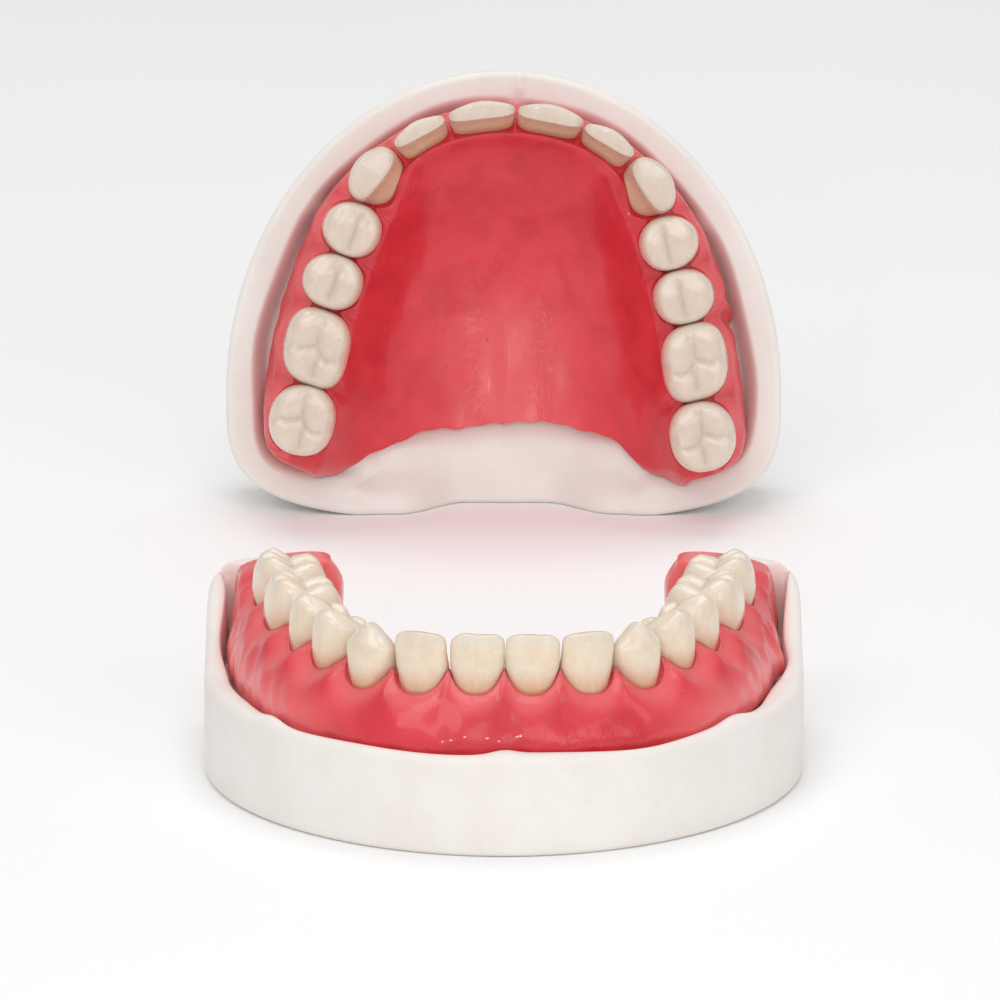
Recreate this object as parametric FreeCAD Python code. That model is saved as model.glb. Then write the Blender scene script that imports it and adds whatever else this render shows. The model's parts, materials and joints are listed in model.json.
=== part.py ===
"""Typodont: two toothless jaw casts, each carrying a complete denture of fourteen teeth.

Millimetres, +Z up, +X to the right of somebody facing the model, -Y towards them.
The origin is on the flat base of the lower cast, under the lower incisal edges.
Left and right in the names are the patient's, so the patient's right is at -X.
Both halves are laid out closed, teeth to teeth. The upper half is then swung open
about the bite hinge until it stands on its heel behind the lower half.
"""

import FreeCAD, Part

import math
import os

from FreeCAD import Vector

# Bite
LOWER_OCCLUSAL_Z = 26.0
BITE_GAP = 0.4
UPPER_OCCLUSAL_Z = LOWER_OCCLUSAL_Z + BITE_GAP
SEAT_GAP = 0.35           # between each denture and its cast
TOOTH_SPACING = 0.16      # between neighbouring teeth
SOCKET_DEPTH = 2.3        # how far a tooth's neck goes into the pink base

# Opening of the bite
UPPER_LEAN = 12.5         # the standing upper half tips back by this many degrees
UPPER_HEEL_STAND_Y = 152.0
OPENING_ANGLE = 90.0 + UPPER_LEAN

# An offset is a distance outward from the arch curve, at the front, at the sides and at the heels.
# It changes smoothly between these distances along the arch from the midline.
FRONT_TO_SIDE = (6.0, 32.0)
SIDE_TO_HEEL = (46.0, 66.0)

# Lower cast
LOWER_HALF_WIDTH = 36.8
LOWER_FRONT_Y = -9.0
LOWER_WIDEST_Y = 31.0
LOWER_HEEL_Y = 58.0
LOWER_OUTLINE_POWERS = (1.95, 8.0)
LOWER_LAND_Z = 12.5
LOWER_PAD_Z = 20.0
LOWER_LAND_RISE = ((27.0, 0.0), (38.0, 1.6), (49.0, 6.3), (54.0, 7.5))    # y, height above the land
LOWER_RIM_OFFSET = (6.4, 8.9, 6.4)
LOWER_TONGUE_OFFSET = (-9.0, -8.0, -7.6)
LOWER_GROOVE_Z = 10.2
LOWER_SHELF_Z = 7.5
LOWER_SHELF_OFFSET = (-4.0, -4.0, -4.0)
LOWER_CHANNEL_OFFSET = (-13.0, -13.0, -13.0)
LOWER_CHANNEL_END_Y = 53.4
LOWER_CREST_Z = 15.5
LOWER_RIDGE_END_Y = 55.0
LOWER_RIDGE_SECTIONS = (                      # z, outer offset, inner offset
    (LOWER_SHELF_Z - 2.0, (4.4, 5.6, 5.0), (-6.6, -5.9, -6.4)),
    (LOWER_GROOVE_Z + 1.0, (3.7, 4.9, 4.4), (-5.0, -4.6, -5.0)),
    (LOWER_CREST_Z, (1.6, 2.4, 2.4), (-2.2, -2.2, -2.2)),
)
EDGE_ROUND = 1.2

# Lower denture base
LOWER_BORDER_Z = 10.7
LOWER_LINGUAL_BORDER_Z = 7.95
LOWER_GUM_Z = 19.6
LOWER_GUM_RISE = ((43.0, 0.0), (47.0, 1.4), (50.0, 2.4))                  # y, height above the gum line
LOWER_BASE_END_Y = 52.8
LOWER_BASE_SECTIONS = (
    (LOWER_LINGUAL_BORDER_Z, (5.8, 8.2, 5.8), (-7.6, -7.0, -7.0)),
    (LOWER_LAND_Z, (5.9, 8.3, 5.8), (-7.3, -6.8, -6.8)),
    (LOWER_GUM_Z - 1.0, (3.4, 5.5, 4.4), (-4.4, -5.2, -5.2)),
    (LOWER_GUM_Z + 4.0, (2.0, 4.1, 3.4), (-3.2, -4.2, -4.2)),
)
UNDER_FLANGE_OFFSETS = ((20.0, 20.0, 20.0), (3.0, 3.0, 3.0))

# Upper cast. Depths are measured from the upper occlusal plane towards the back of the cast
UPPER_HALF_WIDTH = 37.1
UPPER_FRONT_Y = -7.8
UPPER_WIDEST_Y = 35.4
UPPER_REAR_Y = 52.4
UPPER_HEEL_EDGE_Y = 51.8
UPPER_OUTLINE_POWERS = (2.0, 3.5)
UPPER_LAND = 12.5
UPPER_FLOOR = 15.5
UPPER_CREST = 11.6
UPPER_VAULT = 19.0
UPPER_BACK = 28.0
UPPER_RIM = 3.5
UPPER_INSIDE_REAR_Y = 57.4
UPPER_INSIDE_POWERS = (2.0, 2.2)
UPPER_RIDGE_END_Y = 49.5
UPPER_RIDGE_SECTIONS = (                      # depth, outer offset, inner offset
    (UPPER_FLOOR + 1.0, (2.6, 3.9, 3.9), (-6.6, -6.6, -6.6)),
    (UPPER_FLOOR - 1.4, (1.9, 3.2, 3.2), (-5.6, -5.6, -5.6)),
    (UPPER_CREST, (0.4, 1.8, 1.8), (-2.6, -2.8, -2.8)),
)

# Hollow of the palate: depth, half width and foremost y. It runs out through the heel
PALATE_SECTIONS = ((UPPER_FLOOR - 2.0, 19.6, 7.6), (UPPER_VAULT - 2.2, 16.0, 11.5), (UPPER_VAULT, 9.0, 18.5))
PALATE_MOUTH = (22.0, 4.8)
PALATE_WIDEST_Y = 66.0
PALATE_THICKNESS = 2.2

# Upper denture base
UPPER_BORDER = 14.9
UPPER_GUM = 7.6
UPPER_BASE_REACH_Y = 48.8
UPPER_BASE_SECTIONS = (
    (UPPER_GUM, (3.4, 4.6, 4.6)),
    (UPPER_LAND, (3.9, 5.6, 5.2)),
    (UPPER_BORDER, (4.0, 5.5, 5.0)),
)
UPPER_PLATE_OFFSET = (-3.0, -3.0, -3.0)
# Rear border of the palate plate, from the patient's right to left
UPPER_REAR_BORDER = ((-45.0, 47.0), (-24.0, 47.0), (-19.5, 45.0), (-14.0, 42.6), (-2.0, 40.8),
                     (9.0, 40.9), (14.5, 42.5), (18.0, 46.4), (25.0, 48.2), (45.0, 48.0))

# Arch curves through the tooth centres: midline, lateral incisor, canine, first premolar,
# first molar, second molar and heel, for x > 0. The upper arch is set slightly askew on its cast.
LOWER_ARCH = ((0.0, 0.0), (9.6, 1.3), (15.6, 5.4), (19.8, 11.6), (24.7, 27.0), (26.6, 38.0), (27.6, 58.0))
UPPER_ARCH = ((0.0, 0.0), (11.9, 2.9), (18.0, 8.2), (21.3, 15.4), (25.5, 30.8), (27.3, 40.6), (28.4, 60.0))
UPPER_ARCH_FRONT_Y = -0.8
UPPER_ARCH_TURN = 2.4
ARCH_LIMIT = 80.0

# name, width along the arch, depth across it, crown height, cusps (0 is an incisal edge)
LOWER_TEETH = (
    ("central_incisor", 6.4, 5.6, 7.3, 0),
    ("lateral_incisor", 6.4, 5.8, 7.6, 0),
    ("canine", 7.3, 7.0, 8.0, 1),
    ("first_premolar", 7.2, 7.4, 7.4, 2),
    ("second_premolar", 7.4, 7.8, 7.2, 2),
    ("first_molar", 10.8, 9.6, 7.0, 4),
    ("second_molar", 10.0, 9.4, 6.8, 4),
)
UPPER_TEETH = (
    ("central_incisor", 8.6, 6.2, 8.7, 0),
    ("lateral_incisor", 7.2, 5.8, 8.4, 0),
    ("canine", 8.0, 7.4, 8.6, 1),
    ("first_premolar", 7.2, 8.0, 7.8, 2),
    ("second_premolar", 7.3, 8.2, 7.6, 2),
    ("first_molar", 10.2, 9.4, 7.2, 4),
    ("second_molar", 9.6, 9.4, 7.0, 4),
)

# Cross-sections of a tooth from its root to its edge: height as a part of the crown, width and
# depth as parts of the tooth's, shift outward as a part of its depth, and squareness of the corners
NECK_SECTIONS = ((0.95, 0.76, 0.84, 0.0, 2.3),)
INCISOR_SECTIONS = ((0.50, 0.93, 0.70, 0.08, 2.6), (0.10, 0.99, 0.34, 0.16, 3.0), (0.0, 0.93, 0.22, 0.16, 3.2))
CANINE_SECTIONS = ((0.45, 0.97, 0.97, 0.0, 2.5), (0.16, 0.94, 0.80, 0.05, 2.6), (0.0, 0.30, 0.30, 0.05, 2.4))
CHEEK_SECTIONS = ((0.45, 0.97, 0.97, 0.0, 2.5), (0.16, 0.94, 0.80, 0.05, 2.6), (0.0, 0.70, 0.58, 0.05, 2.4))
ROOT_SECTION = (0.60, 0.60, 0.0, 2.2)
FISSURE_HALF_WIDTH = 0.16     # part of the tooth's depth
FISSURE_DEPTH = 0.16          # part of the crown height
CROSS_FISSURE_DEPTH = 0.13

OUTLINE_POINTS = 40
ARCH_STATIONS = 27
TOOTH_POINTS = 14
FAR = 200.0


def signed_power(value, exponent):
    """Power that keeps the sign of its base."""
    return math.copysign(abs(value) ** exponent, value)


def smooth_step(value, limits):
    """Smooth step from 0 at the first limit to 1 at the second."""
    part = min(max((value - limits[0]) / (limits[1] - limits[0]), 0.0), 1.0)
    return part * part * (3.0 - 2.0 * part)


def grown(offset, amount):
    """The same offset of the arch, moved outward by amount."""
    return tuple(value + amount for value in offset)


def curve_through(points, closed=False):
    """Smooth curve through the points."""
    curve = Part.BSplineCurve()
    curve.interpolate(Points=points, PeriodicFlag=closed)
    return curve


def round_wire(count, half_width, half_depths, powers, to_point):
    """Closed smooth outline with its own depth and squareness on each side of its widest line."""
    points = []
    for step in range(count):
        turn = 2.0 * math.pi * (step + 0.5) / count
        side = 0 if math.sin(turn) < 0.0 else 1
        across = half_width * signed_power(math.cos(turn), 2.0 / powers[side])
        deep = half_depths[side] * signed_power(math.sin(turn), 2.0 / powers[side])
        points.append(to_point(across, deep))
    return Part.Wire([curve_through(points, True).toShape()])


def egg_wire(level, half_width, front, widest, rear, powers):
    """Closed horizontal outline, given where it is foremost, widest and rearmost."""
    return round_wire(OUTLINE_POINTS, half_width, (widest - front, rear - widest), powers,
                      lambda across, deep: Vector(across, widest + deep, level))


def loft(wires):
    """Solid through closed wires, straight between each two."""
    return Part.makeLoft(wires, True, True)


def prism(wire, direction):
    """Solid swept by a closed flat wire."""
    return Part.Face(wire).extrude(direction)


def above_profile(level, rises):
    """Everything above a surface that is level at the front and rises towards the heel."""
    surface = [(-FAR, level)] + [(y, level + rise) for y, rise in rises] + [(FAR, level + rises[-1][1])]
    outline = surface + [(FAR, FAR), (-FAR, FAR), surface[0]]
    wire = Part.makePolygon([Vector(-FAR / 2.0, y, z) for y, z in outline])
    return prism(wire, Vector(FAR, 0.0, 0.0))


class Arch:
    """A dental arch: a curve through the tooth centres, with distances along and across it."""

    def __init__(self, half_points, front_y, turn_degrees):
        mirrored = [Vector(-x, y, 0.0) for x, y in reversed(half_points[1:])]
        self.curve = curve_through(mirrored + [Vector(x, y, 0.0) for x, y in half_points])
        self.middle = self.curve.parameter(Vector(0.0, 0.0, 0.0))
        shift = FreeCAD.Placement(Vector(0.0, front_y, 0.0), FreeCAD.Rotation())
        turn = FreeCAD.Placement(Vector(), FreeCAD.Rotation(Vector(0.0, 0.0, 1.0), turn_degrees),
                                 Vector(0.0, UPPER_WIDEST_Y, 0.0))
        self.placement = turn.multiply(shift)

    def at(self, distance):
        """Point, direction along the arch and outward direction, at a distance from the midline."""
        parameter = self.curve.parameterAtDistance(distance, self.middle)
        along = self.curve.tangent(parameter)[0]
        outward = Vector(along.y, -along.x, 0.0)
        turn = self.placement.Rotation
        return self.placement.multVec(self.curve.value(parameter)), turn.multVec(along), turn.multVec(outward)

    def distance_at(self, y):
        """Distance along the arch from the midline to where its two sides are at y on average."""
        low, high = 0.0, ARCH_LIMIT
        while high - low > 0.001:
            middle = (low + high) / 2.0
            if (self.at(middle)[0].y + self.at(-middle)[0].y) / 2.0 < y:
                low = middle
            else:
                high = middle
        return low

    def beside(self, offset, reach, level):
        """Smooth curve beside the arch, from one heel to the other."""
        points = []
        for step in range(ARCH_STATIONS):
            distance = reach * (2.0 * step / (ARCH_STATIONS - 1) - 1.0)
            point, _, outward = self.at(distance)
            amount = offset[0] + (offset[1] - offset[0]) * smooth_step(abs(distance), FRONT_TO_SIDE)
            amount += (offset[2] - offset[1]) * smooth_step(abs(distance), SIDE_TO_HEEL)
            points.append(point + outward * amount + Vector(0.0, 0.0, level))
        return curve_through(points)

    def horseshoe_wire(self, outer, inner, reach, level):
        """Closed horseshoe outline between two offsets from the arch."""
        outside, inside = self.beside(outer, reach, level), self.beside(inner, reach, level)
        ends = [Part.LineSegment(outside.EndPoint, inside.EndPoint),
                Part.LineSegment(inside.StartPoint, outside.StartPoint)]
        edges = [curve.toShape() for curve in (outside, ends[0], inside, ends[1])]
        return Part.Wire(Part.__sortEdges__(edges))

    def filled_wire(self, outer, reach, level):
        """Closed outline of everything inside an offset of the arch, straight across the heel."""
        outside = self.beside(outer, reach, level)
        across = Part.LineSegment(outside.EndPoint, outside.StartPoint)
        return Part.Wire([outside.toShape(), across.toShape()])


lower_arch = Arch(LOWER_ARCH, 0.0, 0.0)
upper_arch = Arch(UPPER_ARCH, UPPER_ARCH_FRONT_Y, UPPER_ARCH_TURN)


def tooth(arch, distance, size, tip_level, root_direction):
    """One artificial tooth: its edge or cusps at tip_level, its neck running into the base."""
    _, width, depth, crown, cusps = size
    point, along, outward = arch.at(distance)

    def place(sideways, out, height):
        level = tip_level + root_direction * height
        return point + along * sideways + outward * out + Vector(0.0, 0.0, level)

    def section(height, width_part, depth_part, out_part, power):
        return round_wire(TOOTH_POINTS, 0.5 * width * width_part, (0.5 * depth * depth_part,) * 2, (power,) * 2,
                          lambda across, deep: place(across, deep + out_part * depth, height))

    crown_sections = {0: INCISOR_SECTIONS, 1: CANINE_SECTIONS}.get(cusps, CHEEK_SECTIONS)
    wires = [section(crown + SOCKET_DEPTH, *ROOT_SECTION)]
    wires += [section(part * crown, *shape) for part, *shape in NECK_SECTIONS + crown_sections]
    body = loft(wires)
    half = FISSURE_HALF_WIDTH * depth
    if cusps >= 2:
        bottom = FISSURE_DEPTH * crown
        corners = ((-half, -1.0), (half, -1.0), (0.0, bottom), (-half, -1.0))
        wire = Part.makePolygon([place(-width, out, height) for out, height in corners])
        body = body.cut(prism(wire, along * (2.0 * width)))
    if cusps >= 4:
        bottom = CROSS_FISSURE_DEPTH * crown
        corners = ((-half, -1.0), (half, -1.0), (0.0, bottom), (-half, -1.0))
        wire = Part.makePolygon([place(sideways, -depth, height) for sideways, height in corners])
        body = body.cut(prism(wire, outward * (2.0 * depth)))
    return body


def tooth_row(jaw, arch, sizes, tip_level, root_direction):
    """All fourteen teeth of one jaw, side by side along the arch."""
    teeth = {}
    for side, sign in (("right", -1.0), ("left", 1.0)):
        distance = 0.0
        for size in sizes:
            spread = size[1] + TOOTH_SPACING
            centre = sign * (distance + spread / 2.0)
            teeth[f"{jaw}_{side}_{size[0]}"] = tooth(arch, centre, size, tip_level, root_direction)
            distance += spread
    return teeth


def lower_ridge(grow):
    """Ridge of the lower jaw, thickened by grow."""
    reach = lower_arch.distance_at(LOWER_RIDGE_END_Y)
    return loft([
        lower_arch.horseshoe_wire(grown(outer, grow), grown(inner, -grow), reach,
                                  level + (grow if level == LOWER_CREST_Z else 0.0))
        for level, outer, inner in LOWER_RIDGE_SECTIONS
    ])


def lower_cast(grow):
    """Lower cast: horseshoe block with land, channel for the denture and ridge, thickened by grow."""
    block = loft([
        egg_wire(level, LOWER_HALF_WIDTH - inset, LOWER_FRONT_Y + inset, LOWER_WIDEST_Y,
                 LOWER_HEEL_Y - inset, LOWER_OUTLINE_POWERS)
        for level, inset in ((0.0, EDGE_ROUND), (EDGE_ROUND, 0.0), (LOWER_PAD_Z + 2.0, 0.4))
    ])
    up = Vector(0.0, 0.0, FAR)
    tongue_reach = lower_arch.distance_at(LOWER_HEEL_Y) + 2.0
    block = block.cut(prism(lower_arch.filled_wire(grown(LOWER_TONGUE_OFFSET, -grow), tongue_reach, -1.0), up))
    block = block.cut(above_profile(LOWER_LAND_Z + grow, LOWER_LAND_RISE))
    channel_reach = lower_arch.distance_at(LOWER_CHANNEL_END_Y - grow)
    for outer, level in ((grown(LOWER_RIM_OFFSET, -grow), LOWER_GROOVE_Z), (LOWER_SHELF_OFFSET, LOWER_SHELF_Z)):
        wire = lower_arch.horseshoe_wire(outer, LOWER_CHANNEL_OFFSET, channel_reach, level + grow)
        block = block.cut(prism(wire, up))
    return block.fuse(lower_ridge(grow))


def lower_base_form():
    """Pink base of the lower denture before the cast and the teeth are cut out of it."""
    reach = lower_arch.distance_at(LOWER_BASE_END_Y)
    form = loft([
        lower_arch.horseshoe_wire(outer, inner, reach, level)
        for level, outer, inner in LOWER_BASE_SECTIONS
    ])
    form = form.cut(above_profile(LOWER_GUM_Z, LOWER_GUM_RISE))
    under = lower_arch.horseshoe_wire(*UNDER_FLANGE_OFFSETS, reach + 3.0, 0.0)
    return form.cut(prism(under, Vector(0.0, 0.0, LOWER_BORDER_Z)))


def upper_level(depth):
    """Height, in the closed bite, of a depth that is measured from the upper occlusal plane."""
    return UPPER_OCCLUSAL_Z + depth


def palate_hollow(shrink, mouth_depth):
    """Hollow of the palate from mouth_depth to its roof, narrower and shallower by shrink."""
    mouth = (mouth_depth + shrink,) + PALATE_MOUTH
    return loft([
        egg_wire(upper_level(depth - shrink), half_width - shrink, front + shrink, PALATE_WIDEST_Y,
                 FAR / 2.0, (2.0, 2.0))
        for depth, half_width, front in (mouth,) + PALATE_SECTIONS
    ])


def upper_ridge(grow):
    """Ridge of the upper jaw, in the closed bite, thickened by grow."""
    reach = upper_arch.distance_at(UPPER_RIDGE_END_Y)
    return loft([
        upper_arch.horseshoe_wire(grown(outer, grow), grown(inner, -grow), reach,
                                  upper_level(depth - (grow if depth == UPPER_CREST else 0.0)))
        for depth, outer, inner in UPPER_RIDGE_SECTIONS
    ])


def upper_cast(grow):
    """Upper cast, in the closed bite: plate with rim, ridge and palate, thickened by grow."""
    block = loft([
        egg_wire(upper_level(depth), UPPER_HALF_WIDTH - inset, UPPER_FRONT_Y + inset, UPPER_WIDEST_Y,
                 UPPER_REAR_Y - inset, UPPER_OUTLINE_POWERS)
        for depth, inset in ((UPPER_LAND - grow, 0.0), (UPPER_BACK - EDGE_ROUND, 0.0), (UPPER_BACK, EDGE_ROUND))
    ])
    rim = UPPER_RIM + grow
    inside = egg_wire(upper_level(UPPER_FLOOR - grow), UPPER_HALF_WIDTH - rim, UPPER_FRONT_Y + rim,
                      UPPER_WIDEST_Y, UPPER_INSIDE_REAR_Y, UPPER_INSIDE_POWERS)
    block = block.cut(prism(inside, Vector(0.0, 0.0, -FAR / 2.0)))
    form = block.fuse(upper_ridge(grow))
    return form.cut(palate_hollow(grow, UPPER_CREST - 4.0))


def upper_base_form():
    """Pink base of the upper denture, in the closed bite, before cast and teeth are cut out of it."""
    reach = upper_arch.distance_at(UPPER_BASE_REACH_Y)
    form = loft([upper_arch.filled_wire(outer, reach, upper_level(depth)) for depth, outer in UPPER_BASE_SECTIONS])
    plate = upper_arch.filled_wire(UPPER_PLATE_OFFSET, reach, upper_level(UPPER_BORDER))
    form = form.fuse(prism(plate, Vector(0.0, 0.0, UPPER_VAULT - UPPER_BORDER)))
    form = form.cut(palate_hollow(PALATE_THICKNESS, UPPER_GUM - 2.0))
    edge = curve_through([Vector(x, y, 0.0) for x, y in UPPER_REAR_BORDER])
    far_corners = [edge.EndPoint, Vector(edge.EndPoint.x, FAR, 0.0), Vector(edge.StartPoint.x, FAR, 0.0),
                   edge.StartPoint]
    behind = Part.Wire([edge.toShape()] + Part.makePolygon(far_corners).Edges)
    return form.cut(prism(behind, Vector(0.0, 0.0, FAR)))


def bite_hinge():
    """Pivot (y, z) about which the upper half turns between standing on its heel and the closed bite."""
    standing = (UPPER_HEEL_STAND_Y, 0.0)
    closed = (UPPER_HEEL_EDGE_Y, upper_level(UPPER_LAND))
    half_span = ((closed[0] - standing[0]) / 2.0, (closed[1] - standing[1]) / 2.0)
    stretch = 1.0 / math.tan(math.radians(OPENING_ANGLE) / 2.0)
    pivot_y = (standing[0] + closed[0]) / 2.0 - half_span[1] * stretch
    pivot_z = (standing[1] + closed[1]) / 2.0 + half_span[0] * stretch
    return pivot_y, pivot_z


def stand_open(shape):
    """Swing an upper piece from the closed bite back to where it stands on its heel."""
    opened = shape.copy()
    opened.rotate(Vector(0.0, *bite_hinge()), Vector(1.0, 0.0, 0.0), -OPENING_ANGLE)
    return opened


def build_nodes():
    """Every separate piece by name, as the model stands open."""
    lower_teeth = tooth_row("lower", lower_arch, LOWER_TEETH, LOWER_OCCLUSAL_Z, -1.0)
    upper_teeth = tooth_row("upper", upper_arch, UPPER_TEETH, UPPER_OCCLUSAL_Z, 1.0)
    lower_base = lower_base_form().cut(lower_cast(SEAT_GAP)).cut(list(lower_teeth.values()))
    upper_base = upper_base_form().cut(upper_cast(SEAT_GAP)).cut(list(upper_teeth.values()))
    table = Part.makeBox(FAR, FAR, FAR, Vector(-FAR / 2.0, UPPER_HEEL_STAND_Y - FAR / 2.0, -FAR))
    nodes = {
        "lower_cast": lower_cast(0.0),
        "lower_denture_base": lower_base,
        "upper_cast": stand_open(upper_cast(0.0)).cut(table),
        "upper_denture_base": stand_open(upper_base),
    }
    nodes.update(lower_teeth)
    nodes.update({name: stand_open(shape) for name, shape in upper_teeth.items()})
    return nodes


def main():
    os.makedirs("parts", exist_ok=True)
    for name, shape in build_nodes().items():
        solid = max(shape.Solids, key=lambda piece: piece.Volume)
        solid.exportStep(f"parts/{name}.step")
        print(f"{name}: {len(shape.Solids)} solid, valid {solid.isValid()}, {solid.Volume:.0f} mm3")
    print("bite hinge pivot (y, z):", bite_hinge())


main()
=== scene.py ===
"""Looks of the typodont: casts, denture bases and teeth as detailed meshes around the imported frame.

Shapes are worked out in millimetres in the closed bite, where both occlusal planes are level.
The lower pieces already lie there. The upper ones are then turned open about the bite hinge.
Across a jaw, an offset is a distance outward from the arch curve through its teeth. A depth is
measured from the jaw's occlusal plane towards its cast.
"""

import json
import math

import bmesh
import bpy
import numpy as np
from mathutils import Matrix, Vector
from mathutils.kdtree import KDTree


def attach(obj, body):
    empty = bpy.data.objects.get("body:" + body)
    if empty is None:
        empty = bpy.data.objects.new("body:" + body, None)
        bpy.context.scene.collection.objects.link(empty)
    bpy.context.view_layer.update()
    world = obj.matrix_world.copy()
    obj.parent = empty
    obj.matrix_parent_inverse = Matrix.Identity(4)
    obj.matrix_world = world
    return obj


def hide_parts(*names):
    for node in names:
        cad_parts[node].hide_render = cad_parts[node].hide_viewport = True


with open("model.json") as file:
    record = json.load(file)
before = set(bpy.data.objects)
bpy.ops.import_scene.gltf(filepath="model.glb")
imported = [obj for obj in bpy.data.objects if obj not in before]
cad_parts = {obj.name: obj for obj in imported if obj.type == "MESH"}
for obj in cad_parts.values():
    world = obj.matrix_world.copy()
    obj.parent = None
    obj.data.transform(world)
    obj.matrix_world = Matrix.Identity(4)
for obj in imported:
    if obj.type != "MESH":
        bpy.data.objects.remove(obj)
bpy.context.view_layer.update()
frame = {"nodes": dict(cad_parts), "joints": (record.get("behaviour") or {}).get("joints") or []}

MM = 0.001
KINDS = ("central_incisor", "lateral_incisor", "canine", "first_premolar",
         "second_premolar", "first_molar", "second_molar")
SOCKET_DEPTH = 2.3
SEAT_GAP = 0.35

# ---------------------------------------------------------------- helpers


def smooth_through(knots, x):
    """Smooth curve through (x, y) knots that never overshoots them."""
    xs = np.array([knot[0] for knot in knots], float)
    ys = np.array([knot[1] for knot in knots], float)
    x = np.clip(np.asarray(x, float), xs[0], xs[-1])
    slope = np.diff(ys) / np.diff(xs)
    tangent = np.concatenate([slope[:1], np.zeros(len(xs) - 2), slope[-1:]])
    for i in range(1, len(xs) - 1):
        if slope[i - 1] * slope[i] > 0.0:
            tangent[i] = 2.0 * slope[i - 1] * slope[i] / (slope[i - 1] + slope[i])
    i = np.clip(np.searchsorted(xs, x, side="right") - 1, 0, len(xs) - 2)
    width = xs[i + 1] - xs[i]
    t = (x - xs[i]) / width
    return (ys[i] * (1 + 2 * t) * (1 - t) ** 2 + tangent[i] * width * t * (1 - t) ** 2
            + ys[i + 1] * t * t * (3 - 2 * t) - tangent[i + 1] * width * t * t * (1 - t))


def smooth_step(value, start, end):
    """0 at start, 1 at end, smooth between."""
    part = np.clip((np.asarray(value, float) - start) / (end - start), 0.0, 1.0)
    return part * part * (3.0 - 2.0 * part)


def bell(value, centre, width):
    """Bump of height 1."""
    return np.exp(-((np.asarray(value, float) - centre) / width) ** 2)


def signed_power(value, exponent):
    """Power of a value's size, with its sign kept."""
    return np.sign(value) * np.abs(value) ** exponent


def closing_turn():
    """Matrix that turns the upper half from where it stands to the closed bite."""
    hinge = next(joint for joint in frame["joints"] if joint["name"] == "bite_closing")
    pivot = Matrix.Translation(Vector(hinge["pos_m"]))
    turn = Matrix.Rotation(math.radians(hinge["range_deg"][1]), 4, Vector(hinge["axis"]))
    return pivot @ turn @ pivot.inverted()


CLOSE = np.array(closing_turn())
OPEN = np.array(closing_turn().inverted())


def to_bite(jaw, points_m):
    """Row frame in metres to the closed bite in millimetres."""
    points = np.asarray(points_m, float).reshape(-1, 3)
    if jaw == "upper":
        points = points @ CLOSE[:3, :3].T + CLOSE[:3, 3]
    return points / MM


def to_row(jaw, points_mm):
    """Closed bite in millimetres to the row frame in metres."""
    points = np.asarray(points_mm, float).reshape(-1, 3) * MM
    if jaw == "upper":
        points = points @ OPEN[:3, :3].T + OPEN[:3, 3]
    return points


def node_points(jaw, node):
    """Vertices of a CAD node in the closed bite, in millimetres."""
    mesh = frame["nodes"][node].data
    points = np.zeros(len(mesh.vertices) * 3)
    mesh.vertices.foreach_get("co", points)
    return to_bite(jaw, points)


def node_box(jaw, node):
    """Lowest and highest corner of a CAD node in the closed bite."""
    points = node_points(jaw, node)
    return points.min(0), points.max(0)


def grid_faces(rows, columns, wrap_columns=False, offset=0):
    """Quads of a grid of vertices, optionally closed round its columns."""
    last = columns if wrap_columns else columns - 1
    row, column = np.meshgrid(np.arange(rows - 1), np.arange(last), indexing="ij")
    after = (column + 1) % columns
    quads = np.stack([row * columns + column, row * columns + after,
                      (row + 1) * columns + after, (row + 1) * columns + column], axis=-1)
    return quads.reshape(-1, 4) + offset


def make_piece(name, jaw, body, nodes, points, faces, material, attributes=None):
    """Mesh object from closed-bite points. It replaces CAD nodes and rides on a body."""
    mesh = bpy.data.meshes.new(name)
    mesh.from_pydata([tuple(p) for p in to_row(jaw, points)], [], [tuple(int(i) for i in f) for f in faces])
    for key, values in (attributes or {}).items():
        layer = mesh.attributes.new(key, "FLOAT", "POINT")
        layer.data.foreach_set("value", np.asarray(values, np.float32).ravel())
    tidy_mesh(mesh)
    piece = bpy.data.objects.new(name, mesh)
    bpy.context.scene.collection.objects.link(piece)
    mesh.materials.append(material)
    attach(piece, body)
    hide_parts(*nodes)


def read_table(s, table, rows):
    """Two-column rows of a table at distances, read between its entries."""
    return np.stack([np.interp(s, table, rows[:, k]) for k in (0, 1)], axis=-1)


def flat_tree(points):
    """Search tree over (x, y) points."""
    tree = KDTree(len(points))
    for number, (x, y) in enumerate(points):
        tree.insert((x, y, 0.0), number)
    tree.balance()
    return tree


def flat_distances(tree, points):
    """Distance of each (x, y) point from the nearest one in a tree."""
    return np.array([tree.find((x, y, 0.0))[2] for x, y in points])


def tidy_mesh(mesh):
    """Joins doubled vertices, points the faces outward and shades them smooth."""
    work = bmesh.new()
    work.from_mesh(mesh)
    bmesh.ops.remove_doubles(work, verts=work.verts, dist=0.01 * MM)
    bmesh.ops.dissolve_degenerate(work, edges=work.edges, dist=0.002 * MM)
    bmesh.ops.recalc_face_normals(work, faces=work.faces)
    work.to_mesh(mesh)
    work.free()
    mesh.polygons.foreach_set("use_smooth", [True] * len(mesh.polygons))


# ---------------------------------------------------------------- arches


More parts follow.
